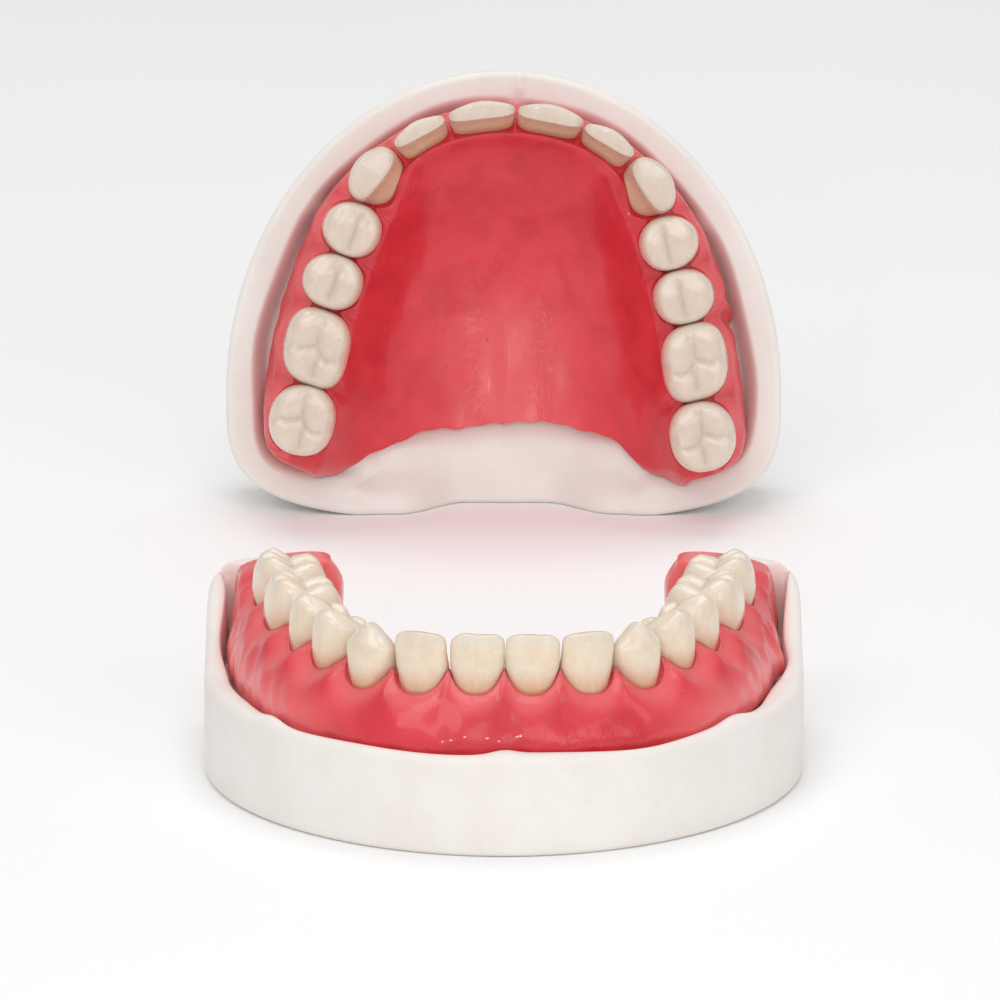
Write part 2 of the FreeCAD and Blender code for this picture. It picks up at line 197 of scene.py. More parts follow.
class Arch:
    """A jaw's arch curve through its fourteen teeth, read from the frame."""

    STEP = 0.05
    BEYOND = 34.0

    def __init__(self, jaw, toward_root, pad_depth, fold_at, band_at):
        """pad_depth is the gum's depth behind the teeth. A fold and the cheek bands lie at stations."""
        self.jaw = jaw
        self.toward_root = toward_root
        self.pad_depth = pad_depth
        self.fold_at = fold_at
        self.band_at = band_at
        self.flange_limit = None
        names = [f"{jaw}_right_{kind}" for kind in reversed(KINDS)]
        names += [f"{jaw}_left_{kind}" for kind in KINDS]
        roots, tips = [], []
        for name in names:
            points = node_points(jaw, name)
            level = points[:, 2] * toward_root
            deep = points[level > level.max() - 0.02]
            roots.append((deep[:, :2].min(0) + deep[:, :2].max(0)) / 2.0)
            tips.append((level.min(), level.max()))
        self.occlusal = toward_root * min(tip[0] for tip in tips)
        self.build_curve(np.array(roots))
        self.teeth = []
        for name, root, tip in zip(names, roots, tips):
            s = self.nearest(root)
            _, along, outward = self.at(s)
            relative = node_points(jaw, name)[:, :2] - root
            self.teeth.append({
                "name": name,
                "s": s,
                "width": np.ptp(relative @ along),
                "depth": np.ptp(relative @ outward),
                "crown": tip[1] - tip[0] - SOCKET_DEPTH,
            })
        self.knots_s = np.array([tooth["s"] for tooth in self.teeth])
        self.close_contacts()
        self.last_edge = self.teeth[-1]["s"] + self.teeth[-1]["width"] / 2.0

    def close_contacts(self):
        """Widens each tooth until it all but touches its neighbours."""
        widths = np.array([tooth["width"] for tooth in self.teeth])
        middle, span = self.knots_s, np.diff(self.knots_s)
        contact = middle[:-1] + span * widths[:-1] / (widths[:-1] + widths[1:])
        left = np.concatenate([[middle[0] - widths[0] / 2.0], contact])
        right = np.concatenate([contact, [middle[-1] + widths[-1] / 2.0]])
        for tooth, start, end in zip(self.teeth, left, right):
            tooth["s"] = (start + end) / 2.0
            tooth["width"] = end - start + 0.04
        self.edges = np.concatenate([left, right[-1:]])
        self.knots_s = (left + right) / 2.0

    def build_curve(self, points):
        """Dense table of a natural cubic spline, carried on straight past its ends."""
        chord = np.concatenate([[0.0], np.cumsum(np.linalg.norm(np.diff(points, axis=0), axis=1))])
        count = len(points)
        system = np.eye(count)
        right = np.zeros((count, 2))
        for i in range(1, count - 1):
            before, after = chord[i] - chord[i - 1], chord[i + 1] - chord[i]
            system[i, i - 1:i + 2] = before, 2.0 * (before + after), after
            right[i] = 6.0 * ((points[i + 1] - points[i]) / after - (points[i] - points[i - 1]) / before)
        bend = np.linalg.solve(system, right)
        t = np.arange(0.0, chord[-1], self.STEP)
        i = np.clip(np.searchsorted(chord, t, side="right") - 1, 0, count - 2)
        width = (chord[i + 1] - chord[i])[:, None]
        a = (chord[i + 1] - t)[:, None] / width
        b = 1.0 - a
        curve = (a * points[i] + b * points[i + 1]
                 + ((a ** 3 - a) * bend[i] + (b ** 3 - b) * bend[i + 1]) * width ** 2 / 6.0)
        first, last = curve[0] - curve[1], curve[-1] - curve[-2]
        tail = np.arange(self.STEP, self.BEYOND, self.STEP)[:, None]
        start = curve[0] + tail[::-1] * first / np.linalg.norm(first)
        end = curve[-1] + tail * last / np.linalg.norm(last)
        self.xy = np.concatenate([start, curve, end])
        lengths = np.linalg.norm(np.diff(self.xy, axis=0), axis=1)
        table = np.concatenate([[0.0], np.cumsum(lengths)])
        middle_pair = (points[count // 2 - 1] + points[count // 2]) / 2.0
        self.table = table - table[np.argmin(np.linalg.norm(self.xy - middle_pair, axis=1))]
        self.tangent = np.gradient(self.xy, self.table, axis=0)
        self.tangent /= np.linalg.norm(self.tangent, axis=1)[:, None]
        self.tree = flat_tree(self.xy)

    def nearest(self, point):
        """Station of the curve's nearest place to a point."""
        return float(self.table[np.argmin(np.linalg.norm(self.xy - point, axis=1))])

    def at(self, s):
        """Points, directions along the arch and outward directions."""
        xy = read_table(s, self.table, self.xy)
        along = read_table(s, self.table, self.tangent)
        along = along / np.linalg.norm(along, axis=-1, keepdims=True)
        outward = np.stack([along[..., 1], -along[..., 0]], axis=-1)
        return xy, along, outward

    def locate(self, points):
        """Nearest station and outward offset of each (x, y) point."""
        found = np.array([self.tree.find((x, y, 0.0))[1] for x, y in points])
        outward = np.stack([self.tangent[found, 1], -self.tangent[found, 0]], axis=-1)
        return self.table[found], np.sum((points - self.xy[found]) * outward, axis=-1)

    def reach_at(self, y):
        """Distance from the midline at which both sides are at y on average."""
        side = np.arange(0.0, self.table[-1] - 1.0, 0.1)
        depth = (self.at(side)[0][:, 1] + self.at(-side)[0][:, 1]) / 2.0
        return float(side[np.argmin(np.abs(depth - y))])

    def tooth_value(self, key, s):
        """A size of the teeth, changing smoothly along the arch."""
        values = [tooth[key] for tooth in self.teeth]
        return smooth_through(list(zip(self.knots_s, values)), s)

    def between_teeth(self, s, power):
        """0 in the middle of each tooth, rising to 1 between two teeth."""
        s = np.asarray(s, float)
        result = np.ones_like(s)
        edges = self.edges
        for i, centre in enumerate(self.knots_s):
            inside = (s >= edges[i]) & (s < edges[i + 1])
            half = np.where(s < centre, centre - edges[i], edges[i + 1] - centre)
            result = np.where(inside, np.abs((s - centre) / half) ** power, result)
        return result

    def level(self, depth):
        """Height in the closed bite of a depth from the occlusal plane."""
        return self.occlusal + self.toward_root * np.asarray(depth, float)

    def place(self, s, offset, depth):
        """Points in the closed bite."""
        xy, _, outward = self.at(s)
        flat = xy + outward * np.asarray(offset, float)[..., None]
        return np.concatenate([flat, self.level(depth + 0.0 * flat[..., 0])[..., None]], axis=-1)


lower = Arch("lower", -1.0, pad_depth=4.0, fold_at=47.0, band_at=25.0)
upper = Arch("upper", 1.0, pad_depth=7.4, fold_at=38.0, band_at=27.0)


def three_way(values, s):
    """A size given at the front, at the sides and at the heels."""
    s = np.abs(s)
    return (values[0] + (values[1] - values[0]) * smooth_step(s, 6.0, 32.0)
            + (values[2] - values[1]) * smooth_step(s, 46.0, 66.0))


# ---------------------------------------------------------------- materials


class Nodes:
    """Short way to write a node material."""

    def __init__(self, name):
        self.material = bpy.data.materials.new(name)
        self.material.use_nodes = True
        self.tree = self.material.node_tree
        self.tree.nodes.clear()
        self.output = self.add("ShaderNodeOutputMaterial")
        self.shader = self.add("ShaderNodeBsdfPrincipled")
        self.link(self.shader, "BSDF", self.output, "Surface")
        self.coordinates = self.add("ShaderNodeTexCoord").outputs["Object"]

    def add(self, kind, **settings):
        """New node with its settings."""
        node = self.tree.nodes.new(kind)
        for key, value in settings.items():
            setattr(node, key, value)
        return node

    def link(self, source, output, target, socket):
        self.tree.links.new(source.outputs[output], target.inputs[socket])

    def feed(self, value, target, socket):
        """Sets a socket to a number or colour, or links an output to it."""
        if isinstance(value, bpy.types.NodeSocket):
            self.tree.links.new(value, target.inputs[socket])
        else:
            target.inputs[socket].default_value = value

    def set(self, **values):
        """Inputs of the shader, with underscores for spaces."""
        for key, value in values.items():
            self.feed(value, self.shader, key.replace("_", " "))

    def noise(self, size_mm, detail=4.0, roughness=0.55, distortion=0.0, stretch=None):
        """Noise between 0 and 1 with features of about size_mm."""
        node = self.add("ShaderNodeTexNoise")
        self.feed(self.coordinates if stretch is None else self.stretched(stretch), node, "Vector")
        self.feed(1.0 / (size_mm * MM), node, "Scale")
        self.feed(detail, node, "Detail")
        self.feed(roughness, node, "Roughness")
        self.feed(distortion, node, "Distortion")
        return node.outputs["Fac"]

    def stretched(self, scale):
        """Object coordinates scaled along each axis."""
        node = self.add("ShaderNodeMapping")
        self.feed(self.coordinates, node, "Vector")
        node.inputs["Scale"].default_value = scale
        return node.outputs["Vector"]

    def cells(self, size_mm):
        """Distance from the middles of cells of about size_mm."""
        node = self.add("ShaderNodeTexVoronoi", feature="F1")
        self.feed(self.coordinates, node, "Vector")
        self.feed(1.0 / (size_mm * MM), node, "Scale")
        return node.outputs["Distance"]

    def attribute(self, name):
        """A value painted on the mesh."""
        return self.add("ShaderNodeAttribute", attribute_name=name).outputs["Fac"]

    def remap(self, value, low, high, to_low=0.0, to_high=1.0):
        """Smooth change of a value from one range to another."""
        node = self.add("ShaderNodeMapRange", interpolation_type="SMOOTHSTEP")
        self.feed(value, node, "Value")
        for key, number in (("From Min", low), ("From Max", high), ("To Min", to_low), ("To Max", to_high)):
            self.feed(number, node, key)
        return node.outputs["Result"]

    def math(self, operation, a, b):
        node = self.add("ShaderNodeMath", operation=operation)
        self.feed(a, node, 0)
        self.feed(b, node, 1)
        return node.outputs[0]

    def mix(self, factor, a, b):
        """Colour between a and b."""
        node = self.add("ShaderNodeMix", data_type="RGBA", blend_type="MIX")
        self.feed(factor, node, 0)
        self.feed(a, node, 6)
        self.feed(b, node, 7)
        return node.outputs[2]

    def tint(self, base, colour, factor, share):
        """Base with a share of another colour, where a factor is 1."""
        return self.mix(self.math("MULTIPLY", factor, share), base, colour)

    def bump(self, height, distance_mm, strength, below=None):
        """Normal of a fine relief, over another one where given."""
        node = self.add("ShaderNodeBump")
        self.feed(height, node, "Height")
        self.feed(distance_mm * MM, node, "Distance")
        self.feed(strength, node, "Strength")
        if below is not None:
            self.feed(below, node, "Normal")
        return node.outputs["Normal"]


def linear(red, green, blue):
    """Linear colour of an sRGB one given as 0 to 255."""
    def channel(value):
        value /= 255.0
        return value / 12.92 if value <= 0.04045 else ((value + 0.055) / 1.055) ** 2.4
    return (channel(red), channel(green), channel(blue), 1.0)


def cast_material():
    """Off-white casting resin: matt, softly mottled, with fine pores."""
    n = Nodes("cast_resin")
    mottle = n.remap(n.noise(9.0, 3.0), 0.35, 0.68)
    fine = n.noise(0.5, 6.0, 0.6)
    pores = n.remap(n.cells(1.7), 0.02, 0.09)
    hue = n.mix(mottle, linear(237, 231, 225), linear(241, 236, 231))
    # Painted reflection: pink light bounced off the gum onto the cast, painted into its colour
    bounce = n.attribute("painted_pink_bounce")
    hue = n.mix(bounce, hue, linear(240, 214, 209))
    hue = n.mix(n.remap(fine, 0.3, 0.7, 0.0, 0.10), hue, linear(214, 205, 198))
    hue = n.tint(hue, linear(196, 184, 176), n.math("SUBTRACT", 1.0, pores), 0.22)
    n.set(Base_Color=hue, Roughness=n.remap(n.noise(3.0), 0.3, 0.7, 0.42, 0.62))
    n.set(Subsurface_Weight=0.08, Subsurface_Radius=(1.0, 0.8, 0.7), Subsurface_Scale=0.8 * MM)
    grain = n.bump(fine, 0.03, 0.5)
    soft = n.bump(n.noise(2.6, 3.0), 0.10, 0.5, grain)
    n.set(Normal=n.bump(pores, 0.05, 0.5, soft))
    return n.material


def gum_material():
    """Glossy pink denture acrylic: deep red body, paler where thin, small bubbles and a wet gloss."""
    n = Nodes("gum_acrylic")
    cloud = n.remap(n.noise(6.0, 4.0, 0.5, 0.6), 0.32, 0.68)
    body = n.mix(cloud, linear(206, 36, 50), linear(220, 50, 62))
    veil = n.attribute("veil")
    body = n.mix(veil, body, linear(238, 106, 108))
    fibres = n.remap(n.noise(0.7, 3.0, 0.6, 1.5), 0.60, 0.74)
    body = n.tint(body, linear(160, 22, 34), fibres, 0.14)
    bubbles = n.remap(n.cells(3.4), 0.025, 0.055)
    body = n.tint(body, linear(120, 20, 28), n.math("SUBTRACT", 1.0, bubbles), 0.6)
    wet = n.attribute("wet")
    satin = n.remap(n.noise(1.6, 4.0), 0.3, 0.7, 0.30, 0.42)
    n.set(Base_Color=body, Roughness=n.math("SUBTRACT", satin, n.math("MULTIPLY", wet, 0.18)))
    n.set(Subsurface_Weight=0.18, Subsurface_Radius=(1.0, 0.22, 0.20), Subsurface_Scale=1.6 * MM)
    n.set(Coat_Weight=0.35, Coat_Roughness=0.09, IOR=1.47)
    ripple = n.bump(n.noise(3.0, 2.0, 0.4), 0.16, 0.6)
    stipple = n.bump(n.noise(0.55, 4.0, 0.6), 0.05, 0.7, ripple)
    grit = n.math("MULTIPLY", n.noise(1.0, 3.0, 0.6, 0.6, (1.0, 1.0, 0.6)), wet)
    glints = n.bump(grit, 0.30, 0.8, stipple)
    n.set(Normal=n.bump(bubbles, 0.06, 0.7, glints))
    return n.material


def tooth_material(name, crown, neck, edge):
    """Ivory tooth resin: warmer at the neck, greyer and clearer at the edge, darker brown along the
    fissures.
    """
    n = Nodes(name)
    height = n.attribute("height")
    body = n.mix(n.remap(height, 0.0, 0.5), neck, crown)
    body = n.mix(n.remap(height, 0.72, 1.0, 0.0, 0.75), body, edge)
    body = n.mix(n.remap(n.noise(2.4, 4.0), 0.35, 0.70, 0.0, 0.22), body, neck)
    streak = n.noise(0.8, 3.0, 0.5, 0.4, (1.0, 1.0, 0.25))
    body = n.mix(n.remap(streak, 0.45, 0.75, 0.0, 0.16), body, linear(246, 236, 220))
    body = n.tint(body, linear(214, 170, 132), n.attribute("warm"), 0.75)
    body = n.tint(body, linear(150, 108, 78), n.attribute("fissure"), 0.26)
    n.set(Base_Color=body, Roughness=n.remap(n.noise(1.1, 4.0), 0.3, 0.7, 0.14, 0.30))
    n.set(Subsurface_Weight=0.14, Subsurface_Radius=(1.0, 0.7, 0.5), Subsurface_Scale=0.9 * MM)
    n.set(Coat_Weight=0.35, Coat_Roughness=0.08, IOR=1.52)
    ridges = n.bump(n.noise(0.35, 3.0, 0.5, 0.0, (1.0, 1.0, 3.0)), 0.012, 0.6)
    n.set(Normal=n.bump(n.noise(1.8, 2.0), 0.07, 0.5, ridges))
    return n.material


CAST = cast_material()
GUM = gum_material()
TOOTH = {
    "lower": tooth_material("lower_tooth_resin", linear(233, 218, 195), linear(216, 168, 132),
                            linear(228, 219, 207)),
    "upper": tooth_material("upper_tooth_resin", linear(226, 207, 190), linear(212, 176, 146),
                            linear(222, 210, 198)),
}

# ---------------------------------------------------------------- teeth

AROUND = 72
SIDE_ROWS = 26
TABLE_RINGS = 22

# Profiles by height, as a part of the crown: -0.3 is inside the gum, 0 the neck and 1 the edge.
# Width is a part of the tooth's width. Lip and tongue sides are parts of its depth.
INCISOR = {
    "width": ((-0.32, 0.72), (0.0, 0.86), (0.25, 0.95), (0.5, 1.0), (0.88, 1.0), (0.96, 0.98), (1.0, 0.92)),
    "lip": ((-0.32, 0.28), (0.0, 0.43), (0.25, 0.475), (0.6, 0.455), (1.0, 0.385)),
    "tongue": ((-0.32, -0.30), (0.0, -0.47), (0.16, -0.49), (0.42, -0.25), (0.75, 0.0), (1.0, 0.10)),
}
UPPER_INCISOR = {
    "width": ((-0.32, 0.68), (0.0, 0.82), (0.35, 0.94), (0.65, 1.0), (0.93, 1.0), (1.0, 0.95)),
    "lip": ((-0.32, 0.26), (0.0, 0.40), (0.3, 0.46), (0.7, 0.49), (1.0, 0.47)),
    "tongue": ((-0.32, -0.30), (0.0, -0.45), (0.2, -0.42), (0.5, -0.13), (0.8, 0.06), (1.0, 0.13)),
}
UPPER_CANINE = {
    "width": ((-0.32, 0.62), (0.0, 0.78), (0.35, 0.92), (0.72, 0.99), (0.92, 0.93), (1.0, 0.84)),
    "lip": ((-0.32, 0.30), (0.0, 0.43), (0.3, 0.49), (0.7, 0.48), (1.0, 0.42)),
    "tongue": ((-0.32, -0.32), (0.0, -0.46), (0.2, -0.46), (0.5, -0.30), (0.8, -0.16), (1.0, -0.08)),
}
CANINE = {
    "width": ((-0.32, 0.58), (0.0, 0.74), (0.35, 0.90), (0.68, 0.985), (0.86, 0.90), (1.0, 0.66)),
    "lip": ((-0.32, 0.30), (0.0, 0.44), (0.3, 0.50), (0.65, 0.45), (1.0, 0.26)),
    "tongue": ((-0.32, -0.32), (0.0, -0.47), (0.2, -0.50), (0.5, -0.34), (0.8, -0.10), (1.0, 0.04)),
}
CHEEK_TOOTH = {
    "width": ((-0.32, 0.66), (0.0, 0.80), (0.35, 0.93), (0.62, 0.985), (0.85, 0.93), (1.0, 0.84)),
    "lip": ((-0.32, 0.34), (0.0, 0.45), (0.3, 0.50), (0.6, 0.48), (0.85, 0.42), (1.0, 0.36)),
    "tongue": ((-0.32, -0.34), (0.0, -0.44), (0.4, -0.50), (0.7, -0.47), (0.9, -0.40), (1.0, -0.34)),
}
FORMS = {
    "lower": {"incisor": INCISOR, "canine": CANINE},
    "upper": {"incisor": UPPER_INCISOR, "canine": UPPER_CANINE},
}
# Cusps: towards the back (+) or front, towards the cheek (+) or tongue, and height below the tallest
PREMOLAR_CUSPS = {
    "upper": ((-0.05, 0.48, 0.0), (-0.08, -0.46, 0.25)),
    "lower": ((-0.02, 0.40, 0.0), (-0.10, -0.50, 0.75)),
}
MOLAR_CUSPS = {
    "upper": ((-0.44, 0.52, 0.0), (0.36, 0.50, 0.15), (-0.36, -0.48, 0.1), (0.52, -0.46, 0.55)),
    "lower": ((-0.48, 0.50, 0.1), (0.10, 0.54, 0.15), (0.60, 0.36, 0.35), (-0.44, -0.52, 0.0),
              (0.36, -0.52, 0.1)),
}
CUSP_FALL = {"lower": 0.31, "upper": 0.24}
MOLAR_SKEW = -0.12
CUSP_POWER = 1.25
SHOULDER = 0.965
TABLE_EDGE = 0.86
TABLE_ROLL = 0.35
# Rings that close a front tooth's worn edge, as parts of its thickness
EDGE_RINGS = (0.985, 0.95, 0.88, 0.75, 0.55, 0.35, 0.17, 0.0)
EDGE_TILT = 0.16
CANINE_POINT = {"lower": 0.20, "upper": 0.11}
CANINE_PEAK = -0.06
WIDEST_PREMOLAR = 8.5
FISSURE_CUT = 0.17
FISSURE_WIDTH = 0.22
# Fall of a lower cheek tooth's table towards the tongue
TONGUE_FALL = 0.18
# Depth at which every root ends, short of the denture's fitting side
ROOT_END = {"lower": 9.5, "upper": 10.6}
# Squareness of each kind's outline, as the power of a superellipse
OUTLINE_POWER = {"central_incisor": 2.5, "lateral_incisor": 2.35, "canine": 2.3, "first_premolar": 2.15,
                 "second_premolar": 2.25, "first_molar": 2.8, "second_molar": 2.35}


def cusp_surface(x, y, width, depth, cusps, fall):
    """Depth below the tallest cusp, and how near a point is to a fissure."""
    heights = []
    for back, cheek, low in cusps:
        dx = x - back * width / 2.0
        dy = y - cheek * depth / 2.0
        distance = np.hypot(dx, dy)
        lobes = 0.07 * np.cos(3.0 * np.arctan2(dy, dx)) * np.clip(distance, 0.0, 2.0)
        heights.append(-low - fall * distance ** CUSP_POWER + lobes)
    ordered = np.sort(np.array(heights), axis=0)
    top = ordered[-1]
    margin = ordered[-1] - ordered[-2]
    fissure = np.exp(-margin / FISSURE_WIDTH)
    inside = 1.0 - smooth_step(np.hypot(2.0 * x / width, 2.0 * y / depth), 0.62, 0.95)
    return top - FISSURE_CUT * fissure * (0.25 + 0.75 * inside), fissure * inside


class ToothShape:
    """Rings of (towards the back, outward, up from the neck) points of one tooth, from root to top."""

    def __init__(self, jaw, kind, width, depth, crown, dice):
        self.jaw = jaw
        self.kind = kind
        self.width = width
        self.depth = depth
        self.crown = crown
        self.has_edge = kind.endswith("incisor") or kind == "canine"
        self.form = FORMS[jaw].get(kind.split("_")[-1], CHEEK_TOOTH)
        turn = 2.0 * math.pi * (np.arange(AROUND) + 0.5) / AROUND
        self.across = signed_power(np.cos(turn), 2.0 / OUTLINE_POWER[kind])
        self.deep = signed_power(np.sin(turn), 2.0 / OUTLINE_POWER[kind])
        self.lip_side = self.deep > 0.0
        self.root = -min(-self.form["width"][0][0], ROOT_END[jaw] / crown - 1.0)
        self.rows = []
        self.shades = {"height": [], "fissure": [], "warm": []}
        self.add_root()
        if self.has_edge:
            self.add_edge(dice)
        else:
            self.add_table()

    def ring(self, part, shrink=1.0):
        """Outline at a height."""
        width, depth, front = self.width, self.depth, float(self.has_edge)
        lip = smooth_through(self.form["lip"], part) * depth
        tongue = smooth_through(self.form["tongue"], part) * depth
        x = self.across * smooth_through(self.form["width"], part) * width / 2.0
        y = (lip + tongue) / 2.0 + self.deep * (lip - tongue) / 2.0 * shrink
        bend = (x / (width / 2.0)) ** 2
        y = y - 0.055 * depth * bend * (1.0 if self.has_edge else 0.3)
        lobes = 0.011 * width * np.cos(3.0 * math.pi * x / (width * 0.9)) * smooth_step(part, 0.35, 0.9)
        hollow = 0.09 * depth * bell(part, 0.58, 0.26) * (1.0 - bend)
        y = y + np.where(self.lip_side, lobes, hollow) * shrink * front
        skew = MOLAR_SKEW * y * (self.jaw == "upper" and self.kind == "first_molar")
        return x + skew, y

    def add_row(self, x, y, z, height, fissure=0.0):
        """One ring, with its height and fissure for shading. The backs of front teeth are warmer."""
        self.rows.append(np.stack([x, y, z + np.zeros(AROUND)], axis=-1))
        behind = ~self.lip_side * float(self.has_edge)
        warm = behind * bell(z / self.crown, 0.42, 0.38)
        for key, value in (("height", height), ("fissure", fissure), ("warm", warm)):
            self.shades[key].append(value + np.zeros(AROUND))

    def add_root(self):
        """Flat end of the root."""
        x, y = self.ring(self.root)
        for share in (0.0, 0.5):
            self.add_row(x.mean() + (x - x.mean()) * share, y.mean() + (y - y.mean()) * share,
                         self.root * self.crown, self.root)

    def edge_drop(self, dice):
        """Fall of a front tooth's edge from its highest point."""
        if self.kind == "canine":
            return CANINE_POINT[self.jaw] * self.crown * np.abs(self.across - CANINE_PEAK) ** 1.25
        worn = dice.uniform(0.5, 1.2)
        drop = 0.075 * np.abs(self.across) ** 7 + 0.040 * worn * np.clip(self.across, 0.0, 1.0) ** 5
        return self.crown * (drop + 0.006 * np.cos(5.0 * self.across + dice.uniform(0.0, 6.0)))

    def add_edge(self, dice):
        """Sides and worn edge of an incisor or canine."""
        drop = self.edge_drop(dice)
        for part in np.linspace(self.root, SHOULDER, SIDE_ROWS):
            x, y = self.ring(part)
            self.add_row(x, y, part * self.crown - drop * smooth_step(part, 0.45, 1.0), part)
        for shrink in EDGE_RINGS:
            part = SHOULDER + (1.0 - SHOULDER) * (1.0 - shrink * shrink) ** 0.28
            x, y = self.ring(part, shrink)
            z = part * self.crown - drop + EDGE_TILT * (y - y.mean())
            self.add_row(x * (0.97 + 0.03 * shrink), y, z, part)

    def add_table(self):
        """Sides and cusped table of a premolar or molar."""
        cusps = (PREMOLAR_CUSPS if self.kind.endswith("premolar") else MOLAR_CUSPS)[self.jaw]
        shape = (self.width, self.depth, cusps, CUSP_FALL[self.jaw])
        raised = (cusp_surface(*self.ring(TABLE_EDGE), *shape)[0] + (1.0 - TABLE_EDGE) * self.crown
                  - TABLE_ROLL)
        for part in np.linspace(self.root, TABLE_EDGE, SIDE_ROWS):
            x, y = self.ring(part)
            groove = 0.03 * self.width * bell(x / self.width, 0.03, 0.07) * smooth_step(part, 0.3, 0.8)
            y = y - np.sign(self.deep) * groove * (self.width > WIDEST_PREMOLAR)
            self.add_row(x, y, part * self.crown + raised * smooth_step(part, 0.35, TABLE_EDGE), part)
        rim_x, rim_y = self.rows[-1][:, :2].T
        for step in range(1, TABLE_RINGS + 1):
            inward = step / TABLE_RINGS
            x = rim_x * (1.0 - inward)
            y = rim_y * (1.0 - inward) + 0.01 * self.depth * inward
            roll = math.sin(min(inward / 0.14, 1.0) * math.pi / 2.0)
            drop, fissure = cusp_surface(x, y, *shape)
            height = TABLE_EDGE + (1.0 - TABLE_EDGE) * inward - 0.12 * smooth_step(inward, 0.1, 0.6)
            self.add_row(x, y, self.crown + drop - TABLE_ROLL * (1.0 - roll), height,
                         fissure * smooth_step(inward, 0.05, 0.25))

    def points(self):
        """All rings as one grid. A cheek tooth's tallest cusp is brought to its full height."""
        grid = np.array(self.rows)
        if not self.has_edge:
            grid[..., 2] += self.crown - grid[..., 2].max()
        return grid


def make_tooth(arch, tooth, seed):
    """One tooth, set in the arch with a technician's small unevenness."""
    dice = np.random.default_rng(seed)
    name, crown = tooth["name"], tooth["crown"]
    side, kind = name.split("_", 2)[1:]
    shape = ToothShape(arch.jaw, kind, tooth["width"], tooth["depth_full"], crown, dice)
    local = shape.points().reshape(-1, 3) * (1.0 if side == "left" else -1.0, 1.0, 1.0)
    twist, lean, tip = np.radians(dice.uniform(-1.0, 1.0, 3) * (2.0, 1.2, 1.2))
    turn = Matrix.Rotation(twist, 3, "Z") @ Matrix.Rotation(lean, 3, "X") @ Matrix.Rotation(tip, 3, "Y")
    local = local @ np.array(turn).T
    if arch.jaw == "lower" and "molar" in kind:
        cheek_cusp = 0.25 * tooth["depth_full"]
        upper_part = smooth_step(local[:, 2] / crown, 0.1, 0.85)
        local[:, 2] -= TONGUE_FALL * np.maximum(cheek_cusp - local[:, 1], 0.0) * upper_part
    local[:, 1] -= tooth["inset"]
    local[:, 2] -= max(local[:, 2].max() - crown, 0.0) + dice.uniform(0.0, 0.12)
    xy, along, outward = arch.at(tooth["s"])
    flat = xy + local[:, :1] * along + local[:, 1:2] * outward
    world = np.column_stack([flat, arch.level(crown - local[:, 2])])
    make_piece(name + "_form", arch.jaw, arch.jaw + "_denture", [name],
               world, grid_faces(len(shape.rows), AROUND, True), TOOTH[arch.jaw], shape.shades)


def set_tooth_depths():
    """Depth of each tooth across the arch. The CAD tooth's neck is a fixed part of it."""
    for arch in (lower, upper):
        for tooth in arch.teeth:
            front = tooth["name"].endswith("incisor")
            molar = tooth["name"].endswith("_molar") and arch is upper
            tooth["depth_full"] = tooth["depth"] / (0.84 if front else 1.03 if molar else 0.97)
            tooth["inset"] = 0.0 if not molar else 0.3 if "first" in tooth["name"] else 0.6


set_tooth_depths()
for arch, first_seed in ((lower, 40), (upper, 140)):
    for number, tooth in enumerate(arch.teeth):
        make_tooth(arch, tooth, first_seed + number)

# ---------------------------------------------------------------- faces across a jaw


class Egg:
    """Outline of a cast: a superellipse with its own power before and behind its widest place."""

    SAMPLES = 6001
    HEEL_CLEAR = 0.1

    def __init__(self, half_width, front_y, widest_y, rear_y, front_power, rear_power, cut_y):
        turn = np.linspace(0.0, math.pi, self.SAMPLES)
        ahead = turn < math.pi / 2.0
        power = np.where(ahead, front_power, rear_power)
        reach = np.where(ahead, widest_y - front_y, rear_y - widest_y)
        x = half_width * np.abs(np.sin(turn)) ** (2.0 / power)
        y = widest_y - reach * signed_power(np.cos(turn), 2.0 / power)
        self.half = np.column_stack([x, np.minimum(y, cut_y)])
        lengths = np.linalg.norm(np.diff(self.half, axis=0), axis=1)
        self.table = np.concatenate([[0.0], np.cumsum(lengths)])
        mirrored = self.half * (-1.0, 1.0)
        self.tree = flat_tree(np.concatenate([self.half, mirrored]))
        curved = self.half[:, 1] < cut_y - self.HEEL_CLEAR
        self.side_tree = flat_tree(np.concatenate([self.half[curved], mirrored[curved]]))

    def along(self, distance):
        """Points at distances from the front, with a sign for the side."""
        point = read_table(np.abs(distance), self.table, self.half)
        point[..., 0] *= np.sign(distance)
        return point

    def reach_to(self, x):
        """Distance from the front at which the rear edge comes in to x."""
        rear = self.half[:, 1] > self.half[:, 1].max() - 8.0
        return float(np.interp(-x, -self.half[rear, 0], self.table[rear]))

    def depth_inside(self, points):
        """Distance of each point from the outline."""
        return flat_distances(self.tree, points)

    def side_distance(self, points):
        """Distance from the curved part of the outline, leaving the flat heel out."""
        return flat_distances(self.side_tree, points)


class Face:
    """Offset of a face from the arch curve by depth, given at the front, the sides and the heels."""

    def __init__(self, *rows):
        self.rows = rows

    def at(self, s, depth):
        """Offset of the face at stations and depths."""
        places = [[(row_depth, offsets[k]) for row_depth, offsets in self.rows] for k in range(3)]
        return three_way([smooth_through(knots, depth) for knots in places], s)


